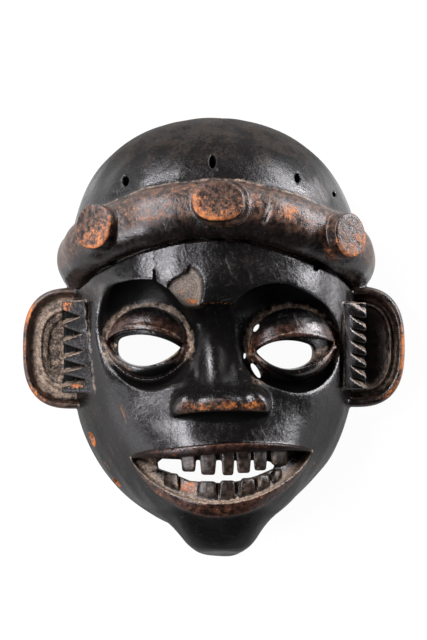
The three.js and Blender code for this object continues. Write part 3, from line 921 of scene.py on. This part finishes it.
def near(distance, none, full):
    """1 within full of a surface on either side, 0 past none."""
    return ramp(np.abs(distance), none, full)


crease = np.maximum(creased(2.5), 0.8 * creased(5))
edge = np.maximum(edged(1.6), 0.8 * edged(3))
back = near(hollow_field(x, y, z), 2.5, 1.2)
outside = 1 - back
wear_and_painted_light = {name: np.zeros(count) for name in (
    "brown", "orange", "tan", "red", "tooth", "bowl", "deep", "dusty", "scuffed", "chipped", "back",
    "scar", "sooty", "film_and_sheen", "along", "across")}


def lay_on(layer, *masks):
    """Raises one layer of the finish to each mask, wherever the mask is the stronger."""
    wear_and_painted_light[layer] = np.maximum.reduce([wear_and_painted_light[layer], *masks])


def spots(*places):
    """Soft round spots in plan, each at a place with its two half widths and its strength: the
    strength times e to the power -r, r being the square of the distance over the half widths."""
    total = np.zeros(count)
    for at_x, at_y, half_width, half_length, strength in places:
        r = ((x - at_x) / half_width) ** 2 + ((y - at_y) / half_length) ** 2
        total = np.maximum(total, strength * np.exp(-r))
    return total


# The roll is brown where hands rub it, with orange patches between its pegs. Below, it is black:
# darker patina, with the shade under the roll painted in.
ROLL_RUBBED = (
    (-38, 69, 13, 6, 0.66), (-24, 63, 10, 5, 0.6), (-30, 76, 7, 5, 0.55), (44, 73, 9, 7, 0.86),
    (58, 66, 7, 7, 0.62), (24, 80, 6, 8, 0.62), (-84, 42, 8, 12, 0.5), (91, 44, 6, 10, 0.55),
    (-62, 63, 4, 9, 0.6),
)
roll, _, _, across, along, scar = band_fields(x, y, z)
on_band = ramp(roll, 1.4, 0.4) * outside
# Painted shade: the underside of the roll loses its brown and orange and goes near black.
under_band = ramp(across, 3, 11)
lay_on("brown", on_band * (1 - 0.92 * under_band))
lay_on("orange", on_band * np.maximum(spots(*ROLL_RUBBED), 0.38) * (1 - under_band))
lay_on("tan", 0.5 * ramp(roll, 3.2, 0.8) * (1 - on_band) * (across < 0) * (shape > -1) * outside)
lay_on("scar", scar * on_band)
wear_and_painted_light["along"], wear_and_painted_light["across"] = 0.1 * along, 0.1 * across
for peg in PEGS:
    at_x, at_y = peg[0][:2]
    in_the_middle = abs(at_x) < 50
    body, r, w = peg_field(x, y, z, *peg)
    on = near(body, 1.2, 0.4) * outside
    face, side = on * near(w, 1.6, 0.8), on * ramp(w, -1, -2.6) * ramp(w, -13, -9)
    lay_on("brown", face, side * (0.25 + 0.6 * (y > at_y - 6)))
    towards = -0.6 if in_the_middle else 0.8
    lit = 0.5 + 0.5 * np.tanh((at_y + 1 - y + towards * (x - at_x)) / 6)
    rubbed_rim = face * ramp(r, -4.4, -0.8) * (0.44 + 0.5 * lit)
    whole_end = 0.28 if in_the_middle else 0.22
    wear_and_painted_light["orange"] = np.where(face > 0.3, np.maximum(whole_end, rubbed_rim), wear_and_painted_light["orange"])
    lay_on("orange", side * 0.66 * ramp(w, -6, -2) * (y > at_y - 9))
for collar in PEG_COLLARS:
    body, _, w = peg_field(x, y, z, *collar)
    on = near(body, 1, 0.3) * outside
    lay_on("brown", 0.8 * on)
    lay_on("orange", 0.6 * on * ramp(w, -3, -0.5) * (x < collar[0][0] - 4) * (x > 50))

# The left ear is tan in its groove and bowl with an orange rim; the right one is dark brown.
EAR_RIM_RUBBED = (
    (-117, 14, 12, 20, 1), (-108, -34, 12, 14, 0.8), (-118, -10, 8, 16, 0.75),
    (116, -10, 10, 26, 1), (106, -30, 10, 12, 0.95), (101, 19, 6, 6, 0.75),
)
COMB_TIPS_RUBBED = (
    (-90, 17.5, 5, 4, 1), (-84, -30, 8, 3, 0.95), (-90.5, 6.5, 2, 2.5, 0.6), (-90.5, -4, 2, 2, 0.5),
)
for ear in EARS:
    plate, inset = ear_plate(x, y, z, *ear)
    on = near(plate, 1.4, 0.5) * (z > 10) * (shape > 0.3)
    left = ear[2] < 0
    trough = on * ramp(inset, 4, 6) * ramp(inset, 13.4, 11)
    deep_in = on * ramp(inset, 11.6, 14)
    ridge = on * np.exp(-(((inset - (11.6 if left else 9.2)) / 0.9) ** 2))
    lay_on("brown", on * (0.9 if left else 0.55))
    lay_on("bowl", deep_in)
    lay_on("tan", ridge * (0.85 if left else 0.5), 0.52 * trough + 0.45 * deep_in if left
        else 0.42 * trough * ramp(-y, -16, 24) + 0.06 * deep_in)
    rim = on * ramp(inset, 4.6, 3) * (ramp(inset, 3.6, 2) if left else ramp(inset, 4, 2.4))
    rubbed_rim = 0.95 * rim * spots(*EAR_RIM_RUBBED) * ramp(z, 18, 22)
    wear_and_painted_light["orange"] = np.where(on > 0.3, rubbed_rim, wear_and_painted_light["orange"])
for comb in COMBS:
    side, inner, ridge_height, fall, slant, _, top, steps = comb[:8]
    left = side < 0
    on = near(comb_field(x, y, z, *comb), 1, 0.4)
    for layer in ("brown", "tan", "bowl", "orange"):
        wear_and_painted_light[layer] *= 1 - on
    out = np.abs(x) - inner
    # The notches' lower walls, which face up, are painted tan, partly dust and partly the light
    # they catch; the rest of each notch is painted black as the shade in it.
    toothed = on * ramp(out, 2.6, 4)
    low_side = toothed * (ramp(normal[:, 1], 0.25, 0.6) if left else ramp(normal[:, 1], 0.1, 0.4))
    lay_on("tan", (0.5 if left else 0.42) * low_side)
    out = out - slant * (y + 6)
    into_notch = ridge_height - fall * out - z
    lay_on("deep", toothed * (1 - low_side) * ramp(into_notch, 1.6, 3))
    if left:
        lay_on("orange", on * spots(*COMB_TIPS_RUBBED) * ramp(normal[:, 2], 0.4, 0.7))
    beside = np.exp(-(((out + 0.8) / 0.8) ** 2)) * (side * x > 0) * outside * (z > 30)
    lay_on("tan", 0.36 * beside * (y < top + 1) * (y > top - sum(steps) - 1))

# The lids are a dark red brown, rubbed along their edges, and dust lies in a ring round each ball.
# The wall of each socket and the inside of the lids are dull. The groove under each lower lid and
# the wall under each brow are painted black as the shade in them.
for eye in EYES.values():
    at = eye["ball"][0]
    ball = ellipsoid(x, y, z, *eye["ball"])
    inside, below, above, _ = almond(x, y, *eye["almond"])
    from_ball = np.hypot(x - at[0], y - at[1])
    near_eye = ramp(from_ball / 34, 1.12, 0.98) * outside
    on_ball = near(ball, 2.6, 1.6) * near_eye
    lower_lid = ramp(below, 6.8, 5) * ramp(below, -1.8, -0.6) * on_ball
    upper_lid = ramp(above, 10, 4) * ramp(above, -1.8, -0.6) * on_ball
    lay_on("red", 0.8 * upper_lid, 0.7 * lower_lid)
    lay_on("orange", 0.56 * on_ball * edge * near(inside, 2.4, 0.8))
    lay_on("film_and_sheen", 0.3 * on_ball * ramp(above, 5, 9) * (y > at[1]) * outside)
    ring = near_eye * ramp(ball, 0.25, 0.9) * ramp(ball, 5.4, 3) * (inside > 2)
    lay_on("tan", 0.62 * ring * np.maximum(crease, 0.7) * (1 - ramp(at[1] - y, 9, 16)))
    # Painted shade: the groove under the lower lid, and the wall under the brow.
    sunk = near_eye * ramp(ball, 1.2, 3) * ramp(at[1] - y, 6, 13)
    sunk = sunk * ramp(-shape, 1, 3) * ramp(ball, 8.5, 6)
    under_brow = ramp(ball, 3.4, 6) * ramp(ball, 26, 18) * ramp(-shape, 0.6, 2.4) * outside
    lay_on("deep", sunk, 0.95 * under_brow * ramp(y, 8, 16) * (y < 42))
    towards_ball = (at[0] - x) * normal[:, 0] + (at[1] - y) * normal[:, 1]
    wall = ramp(towards_ball / np.maximum(from_ball, 1), 0.12, 0.38) * ramp(ball, 1.5, 3)
    inner = near_eye * ramp(inside, -0.4, -1.4) * ramp(-ball, 1, 2.2)
    lay_on("sooty", 0.9 * near_eye * wall * ramp(-y, -8, 2) * outside, 0.7 * inner * outside)
    lay_on("tan", inner * (0.34 - 0.3 * (below < above)))
from_sockets = np.hypot((np.abs(x - 1) - 44) / 30, (y + 1) / 31)
socket_rim = edge * ramp(from_sockets, 1.25, 1.05) * outside
lay_on("orange", 0.6 * socket_rim * ramp(-y, 8, 20) * (np.abs(x - 1) > 16) * (y > -38),
    0.45 * socket_rim * ramp(y, 22, 28) * (x < -10),
    0.72 * np.exp(-((x / 13) ** 2) - ((y - 18.5) / 2.4) ** 2) * (shape > -2) * outside,
    spots((21.6, -9, 1.6, 8, 0.7)) * (shape < -2) * outside)

# The nose's front is rubbed to orange streaks, less so on its wings; its underside is painted black
# as the shadow under it.
NOSE_RUBBED = (
    (-8, -41.5, 9, 3.2, 0.85), (8, -40.5, 10, 4, 0.8), (22, -40, 8, 4, 0.9), (-16, -41, 6, 3, 0.7),
)
nose_band = near(nose_front(x, y, z), 1.3, 0.5) * (shape > 4) * (y > -47) * (y < -30)
lay_on("orange", nose_band * spots(*NOSE_RUBBED))
lay_on("brown", 0.75 * nose_band)
# Painted shadow: a black lens under the nose's front.
under_nose = ramp(np.hypot((x - 3.6) / 31, (y + 46.4) / 5), 1.1, 0.85) * ramp(-y, 43, 44.6)
lay_on("deep", under_nose * outside * (1 - nose_band))

# Lips are red brown with a few orange specks; the gums are tan, the upper gum darker as painted
# shade under the upper lip; the teeth are dark with tan edges.
LIPS_RUBBED = (
    (-24, -70, 2.4, 1.6, 0.85), (-31, -71, 2.4, 1.4, 0.8), (-40, -72, 5, 1.5, 0.62),
    (4, -69, 4, 1.6, 0.9), (30, -65, 8, 2, 0.5), (-35, -93, 6, 4, 0.6), (0, -103, 20, 5, 0.45),
    (28, -96, 8, 5, 0.5),
)
upper, lower = lips(x, y, shape)
_, top, bottom = mouth_edges(x)
above_lip_edge, above_low_edge = y - top, y - bottom
lip = np.maximum(near(upper, 1.2, 0.4), near(lower, 1.2, 0.4)) * ramp(shape, 0.5, 1.4)
lay_on("red", lip)
lay_on("orange", lip * spots(*LIPS_RUBBED))
opening = mouth_opening(x, y)
tooth = near(all_teeth(x, y, shape), 0.9, 0.3) * (opening < 4)
lay_on("tooth", tooth)
gum = ramp(opening, 1, -0.6) * ramp(shape, -1, -2.6) * outside * (1 - tooth)
# Painted shade: the upper gum, under the overhanging lip, gets less tan.
low_ledge, upper_gum = gum * ramp(above_low_edge, 5, 1.5), gum * ramp(y, -79, -76)
lay_on("tan", gum * (0.24 + 0.8 * low_ledge - 0.2 * upper_gum), 0.46 * tooth * edge,
    gum * spots((-42, -79, 8, 6, 0.8), (42, -82, 10, 8, 0.45)))
lay_on("orange", gum * spots((-16, -89.5, 9, 5, 1), (-28, -86, 6, 3, 0.7)))

# Wear goes down to orange wood in the jaw's bites and on the cheeks, and to a dull brown in the
# chip's floor.
chip = ramp(polygon(x, y, CHIP), 0.6, -0.2) * ramp(polygon(x, y, CHIP_SLOPING), -2, -2.9)
chip *= outside * ramp(shape, -0.9, -1.8) * (shape > -7)
lay_on("chipped", chip)
wear_and_painted_light["tan"] *= 1 - chip
lay_on("orange", chip * spots((-13, 20.5, 6, 2.6, 0.9), (-20, 26, 5, 4, 0.55)),
    *(0.9 * ramp(ellipsoid(x, y, z, at, half), 1.8, 0.3) for at, half in JAW_CHIPS))
CHEEK_SCUFFS = (
    (-55, -44, 8, 9, 0.75), (-73, -50, 4, 8, 0.6), (60, -78, 4, 5, 0.7), (-66, -76, 6, 14, 0.6),
)
lay_on("scuffed", spots(*CHEEK_SCUFFS) * outside * (shape > -0.5))

# Black is painted into the crown's holes, the crack and the pits as the shade in them; dust dulls
# the crown and the brow.
DUSTED = (
    (8, 44, 26, 7, 0.5), (48, 40, 18, 10, 0.6), (-72, 22, 12, 14, 0.6), (-74, -44, 10, 14, 0.5),
    (66, 26, 14, 14, 0.55),
)
holes = ramp(-shape, 0.5, 1.4) * outside
in_crack = ramp(np.abs(crack_side(x, y)), 1, 0.6) * (y > 26) * (y < 42)
lay_on("deep", holes * (y > 78) * (z > 20), holes * in_crack,
    *(holes * (np.hypot(x - pit[0], y - pit[1]) < pit[2] + 1.5) for pit in PITS))
lay_on("dusty", 0.75 * ramp(y, 90, 116) * outside, 0.7 * crease * outside, spots(*DUSTED) * outside)

# The skin is polished only where hands reach. The jaw's sides, the crown's edge, the nose's flanks
# but for one bright place, and the lower half of the upper lip are as dull as the smoke left them.
# The lower half of the upper lip, which faces down, is also painted near black as shade.
bright = spots((-2.8, -15.5, 4.6, 9.5, 1))
flanks = np.minimum(1.3 * spots((1, -9, 20, 30, 1)), 1) * (1 - bright)
on_upper_lip = lip * (above_lip_edge > -1)
lay_on("sooty", *(dull_place * outside for dull_place in (
    0.7 * ramp(normal[:, 2], 0.8, 0.4) * ramp(-y, 10, 50),
    0.82 * ramp(-y, 94, 106) * ramp(normal[:, 2], 0.995, 0.9) * ramp(y, -131, -126),
    0.8 * ramp(y, 86, 114),
    flanks * (z > 45) * (y > -34),
    0.75 * on_upper_lip * ramp(above_lip_edge, 4.8, 3),
    spots((60, 7, 10, 8, 1)) * (shape < -1),
    spots((22, 96, 20, 9, 0.6)) * (shape > -0.5))))
# Painted shade on the down-facing lower half of the upper lip.
lay_on("deep", 0.8 * on_upper_lip * ramp(above_lip_edge, 4.6, 2.2))
# Tan spots beside the eyes. The pale line along the lower lip's inner edge is partly dust and
# partly a painted highlight on that edge.
lay_on("tan", spots((-13.8, -5, 1.8, 9, 0.48), (26, -24, 4, 5, 0.45)) * outside,
    0.62 * near(above_low_edge - 0.2, 1.4, 0.5) * (opening < 1.5) * (shape > -4) * outside)

# A pale, scratched film is painted over the right temple and crown, and more thinly over the left
# temple, the left cheek, the floor of the left socket on its lower lid, above the right eye and on
# the right toothed strip: a painted sheen where highlights fall, with real scratches in it. On the
# tops of the eyeballs it is dust.
SHEEN_AND_FILM_SPOTS = (
    (72, 26, 9, 20, 1), (76, -6, 6, 20, 0.7), (61, 85, 13, 13, 1), (-68, 22, 9, 14, 0.55),
    (-34, -54, 9, 8, 0.9),
)
lay_on("film_and_sheen", spots(*SHEEN_AND_FILM_SPOTS) * (shape > -0.8) * outside,
    spots((-47, -19.6, 7, 2.6, 1), (-41, -21.5, 6, 2.2, 0.7)) * (shape < -0.8) * outside,
    spots((81.5, -7, 4.4, 30, 0.8), (61, 34, 8, 6, 0.7)) * outside)
lay_on("back", back)
for name, values in wear_and_painted_light.items():
    layer = mask.data.attributes.new(name, "FLOAT", "POINT")
    layer.data.foreach_set("value", values.astype(np.float32))


class Socket:
    """A node's output, on which arithmetic adds Math nodes."""

    def __init__(self, tree, socket):
        self.tree, self.socket = tree, socket

    def node(self, kind, settings=None, inputs=None, output=0):
        """Adds a node: its settings are set first, then its inputs by name or number."""
        made = self.tree.nodes.new(kind)
        for key, value in (settings or {}).items():
            setattr(made, key, value)
        for key, value in (inputs or {}).items():
            if isinstance(value, Socket):
                self.tree.links.new(value.socket, made.inputs[key])
            else:
                made.inputs[key].default_value = value
        return Socket(self.tree, made.outputs[output])

    def math(self, operation, *values):
        return self.node("ShaderNodeMath", {"operation": operation}, dict(enumerate(values)))

    def __add__(self, other):
        return self.math("ADD", self, other)

    def __sub__(self, other):
        return self.math("SUBTRACT", self, other)

    def __rsub__(self, other):
        return self.math("SUBTRACT", other, self)

    def __mul__(self, other):
        return self.math("MULTIPLY", self, other)

    __radd__, __rmul__ = __add__, __mul__

    def between(self, low, high):
        """0 below low and 1 above high, smooth between them."""
        return self.node("ShaderNodeMapRange", {"interpolation_type": "SMOOTHSTEP"},
                         {"Value": self, "From Min": low, "From Max": high})

    def over(self, colour, mask):
        """Another colour laid over this one where the mask is 1."""
        return self.node("ShaderNodeMix", {"data_type": "RGBA"}, {0: mask, 6: self, 7: colour}, 2)


material = bpy.data.materials.new("blackened_wood")
material.use_nodes = True
tree = material.node_tree
shader = tree.nodes["Principled BSDF"]
spot = Socket(tree, tree.nodes.new("ShaderNodeTexCoord").outputs["Object"])


def attribute(name):
    """One layer of the finish, with its painted light, read from the mesh."""
    return spot.node("ShaderNodeAttribute", {"attribute_name": name}, {}, "Fac")


def noise(scale, detail=4, rough=0.55, at=spot):
    """Fractal noise from 0 to 1, over the mask's own coordinates unless others are given."""
    return spot.node("ShaderNodeTexNoise", {}, {"Vector": at, "Scale": scale, "Detail": detail,
                                                "Roughness": rough})


def drawn_out(by, turn):
    """Object coordinates shrunk along one axis after a turn in plan, which draws noise out."""
    return spot.node("ShaderNodeMapping", {"vector_type": "TEXTURE"},
                     {"Vector": spot, "Rotation": (0, 0, turn), "Scale": by})


def paint(r, g, b):
    """A colour that covers fully."""
    return (r, g, b, 1)


def tone(factor, low, high, dark, light):
    """From the dark paint to the light one as the factor goes from low to high."""
    return spot.node("ShaderNodeMix", {"data_type": "RGBA"},
                     {0: factor.between(low, high), 6: paint(*dark), 7: paint(*light)}, 2)


brown, orange, tan, red, tooth, bowl, deep, dusty = (attribute(name) for name in list(wear_and_painted_light)[:8])
scuffed, chipped, behind, scarred, sooty, film_and_sheen = (attribute(name) for name in list(wear_and_painted_light)[8:-2])
broad, middle_sized, fine, grit = noise(24, 3), noise(85, 4), noise(330, 5), noise(950, 3)
flecks, grain = noise(700, 3), noise(1700, 2)
down_scratches = noise(900, 2, 0.5, drawn_out((1, 16, 4), 0.35))
cross_scratches = noise(900, 2, 0.5, drawn_out((16, 1, 4), 0.25))
round_roll = spot.node("ShaderNodeCombineXYZ", {}, {"X": attribute("along") * 2.2,
                                                    "Y": attribute("across") * 0.4})
hatching = noise(6, 3, 0.6, round_roll)
upright = noise(620, 3, 0.6, drawn_out((1, 5, 1), 0))

# Paints, each dark one beside its light one where it varies, and how rough and uneven the skin is.
BLACK_SKIN = (0.0014, 0.0012, 0.0013), (0.0050, 0.0040, 0.0040)
PAINTED_SHADE_BLACK, BOWL_SHADE = (0.0018, 0.0015, 0.0015), (0.014, 0.010, 0.008)
DUST, PALE_FILM_AND_SHEEN, SCRATCH = (0.020, 0.0145, 0.0115), (0.098, 0.092, 0.095), (0.05, 0.045, 0.042)
SPECK, SCUFF, SCAR_WOOD = (0.15, 0.135, 0.12), (0.16, 0.07, 0.032), (0.25, 0.21, 0.19)
UMBER = (0.005, 0.0027, 0.0021), (0.085, 0.042, 0.027)
LIP_RED = (0.009, 0.0042, 0.0032), (0.058, 0.024, 0.016)
TOOTH_BROWN = (0.0065, 0.0040, 0.0029), (0.040, 0.025, 0.018)
DRY_TAN = (0.046, 0.032, 0.024), (0.31, 0.225, 0.172)
CHIP_FLOOR = (0.020, 0.0145, 0.011), (0.14, 0.102, 0.078)
BARE_ORANGE = (0.14, 0.034, 0.006), (0.42, 0.130, 0.022)
BACK_WOOD = (0.016, 0.011, 0.008), (0.036, 0.025, 0.018)
SHINE_TINT = (0.975, 0.95, 1)
SKIN_ROUGHNESS, SOOT_ROUGHNESS, SOOT_SHINE = 0.25, 0.9, 0.04
RELIEF_STRENGTH, RELIEF_DEPTH = 0.6, 0.0008

blotches, clouds, dots, specks = middle_sized - 0.5, fine - 0.5, flecks - 0.5, grain - 0.5
streaks = down_scratches - 0.5
scratches = (down_scratches.between(0.62, 0.72) + cross_scratches.between(0.63, 0.73)) \
    * middle_sized.between(0.42, 0.6)
speckle = (grit * 0.6 + fine * 0.4).between(0.46, 0.56)
tan_on = (tan + clouds * 0.8 + blotches * 0.5).between(0.12, 0.66)
rubbed = (orange + clouds * 0.6 + dots * 1.2 + specks * 1.2 + blotches * 0.5).between(0.60, 0.82)
coats = (
    # Over the black skin: dust, the pale film with its painted sheen, scratches and specks.
    (paint(*DUST), (dusty + blotches * 2.2 + dots * 1.8).between(0.45, 1) * 0.8),
    (paint(*PALE_FILM_AND_SHEEN), (film_and_sheen + blotches * 0.9 + streaks * 0.9).between(0.3, 1.3)),
    (paint(*SCRATCH), scratches * 0.16),
    (paint(*SPECK), grain.between(0.66, 0.76) * fine.between(0.45, 0.6) * 0.6),
    # Brown on the roll, the pegs and the ears, hatched across the roll; red lips and lids; teeth.
    (tone(fine * 0.5 + hatching * 0.5, 0.40, 0.62, *UMBER), brown * 0.95),
    (tone(fine, 0.35, 0.65, *LIP_RED), red * 0.92),
    (tone(fine, 0.4, 0.6, *TOOTH_BROWN), tooth * 0.95),
    # Tan dust and dry wood, speckled in the bowls of the ears, and in part painted light on the
    # notches' upturned walls and along the lower lip's inner edge.
    (tone(grit * 0.45 + fine * 0.3 + grain * 0.25, 0.40, 0.60, *DRY_TAN), tan_on),
    (tone(grit * 0.5 + grain * 0.5, 0.4, 0.6, *CHIP_FLOOR), chipped),
    (paint(*BOWL_SHADE), bowl * (1 - speckle) * 0.5),
    # Orange where the black has been rubbed away to the wood.
    (tone(fine * 0.5 + upright * 0.5, 0.4, 0.62, *BARE_ORANGE), rubbed * 0.92),
    (paint(*SCUFF), (scuffed + streaks * 2.4 + blotches * 0.8).between(0.85, 1.05) * 0.75),
    (paint(*SCAR_WOOD), scarred * fine.between(0.4, 0.55) * 0.8),
    # Black painted as shade in the holes and hollows, the notches and under the brows, lids, nose
    # and upper lip, and plain wood behind.
    (paint(*PAINTED_SHADE_BLACK), deep),
    (tone(fine, 0.35, 0.65, *BACK_WOOD), behind),
)
skin = tone(broad, 0.38, 0.68, *BLACK_SKIN)
for colour, cover in coats:
    skin = skin.over(colour, cover)
roughness = SKIN_ROUGHNESS + clouds * 0.3 + specks * 0.2 + blotches * 0.16 + scratches * 0.12 \
    + dusty * 0.05 + brown * 0.12 + tooth * 0.12 + chipped * 0.3 + tan_on * 0.34 + rubbed * 0.16 \
    + bowl * 0.2 + deep * 0.1 + behind * 0.35
relief = fine * 0.38 + middle_sized + grain * 0.14 + flecks * 0.2 - scratches * 0.12 \
    + grit * (0.2 + bowl * 1.1 + tan_on * 0.35 + brown * 0.2) + hatching * brown * 0.8 \
    - rubbed * 0.12 + upright * tooth * 0.4
bump = spot.node("ShaderNodeBump", {}, {"Height": relief, "Strength": RELIEF_STRENGTH,
                                        "Distance": RELIEF_DEPTH})
tree.links.new(skin.socket, shader.inputs["Base Color"])
tree.links.new(roughness.socket, shader.inputs["Roughness"])
tree.links.new(bump.socket, shader.inputs["Normal"])
shader.inputs["Specular Tint"].default_value = paint(*SHINE_TINT)
soot = spot.node("ShaderNodeBsdfPrincipled", {}, {
    "Base Color": skin, "Roughness": SOOT_ROUGHNESS, "Specular IOR Level": SOOT_SHINE})
surface = spot.node("ShaderNodeMixShader", {}, {
    0: deep.math("MAXIMUM", deep * 0.9, sooty), 1: Socket(tree, shader.outputs[0]), 2: soot})
tree.links.new(surface.socket, tree.nodes["Material Output"].inputs["Surface"])
mask.data.materials.clear()
mask.data.materials.append(material)
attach(mask, "root")
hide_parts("mask")

# The floor and the light. Plain white paper under the mask, five wide soft lights from over the
# crown round to the low left, two low ones at the right, and the pale room all round.
PAPER_GREY, PAPER_GLOW, ROOM_LIGHT = 0.05, 0.96, 0.06
floor_mesh = bpy.data.meshes.new("floor")
floor_mesh.from_pydata([(-3, -3, 0), (3, -3, 0), (3, 3, 0), (-3, 3, 0)], [], [(0, 1, 2, 3)])
floor = placed("floor", floor_mesh)
paper = bpy.data.materials.new("paper")
paper.use_nodes = True
sheet = paper.node_tree.nodes["Principled BSDF"]
sheet.inputs["Base Color"].default_value = (PAPER_GREY, PAPER_GREY, PAPER_GREY, 1)
sheet.inputs["Emission Color"].default_value = (1, 1, 1, 1)
sheet.inputs["Emission Strength"].default_value = PAPER_GLOW
sheet.inputs["Roughness"].default_value = 0.9
sheet.inputs["Specular IOR Level"].default_value = 0.1
floor_mesh.materials.append(paper)

world = bpy.data.worlds.new("studio")
bpy.context.scene.world = world
world.use_nodes = True
room = world.node_tree.nodes["Background"]
room.inputs["Color"].default_value = (1, 1, 1, 1)
room.inputs["Strength"].default_value = ROOM_LIGHT
bpy.context.scene.view_settings.view_transform = "Standard"


def softbox(name, towards, size, radiance, away=1.35):
    """An area light at a distance in one direction, facing the mask, as bright as is asked."""
    light = bpy.data.lights.new(name, "AREA")
    light.shape = "RECTANGLE"
    light.size, light.size_y = size
    light.energy = radiance * np.pi * size[0] * size[1]
    lamp = placed(name, light)
    lamp.location = away * np.array(towards) / np.linalg.norm(towards)
    lamp.rotation_euler = (-lamp.location).to_track_quat("-Z", "Y").to_euler()


softbox("over_crown", (-0.48, 0.82, 0.32), (0.42, 0.30), 11)
softbox("upper_left", (-0.52, 0.70, 0.49), (0.42, 0.50), 22)
softbox("left", (-0.54, 0.27, 0.80), (0.42, 0.50), 27)
softbox("lower_left", (-0.66, -0.36, 0.66), (0.36, 0.46), 24)
softbox("low_left", (-0.97, -0.24, 0.16), (0.90, 0.36), 3)
softbox("low_right", (0.94, 0.33, 0.12), (1.05, 0.30), 24)
softbox("low_upper_right", (0.70, 0.70, 0.12), (0.90, 0.30), 20)

# The camera looks straight down from 1.8 metres, its sensor and lens in millimetres.
SENSOR_HEIGHT, LENS = 36, 163.5
CAMERA_AT = (-0.00061, 0.00949, 1.8)
camera_data = bpy.data.cameras.new("camera")
camera_data.sensor_fit = "VERTICAL"
camera_data.sensor_height, camera_data.lens = SENSOR_HEIGHT, LENS
camera = placed("camera", camera_data)
camera.location = CAMERA_AT
bpy.context.scene.camera = camera
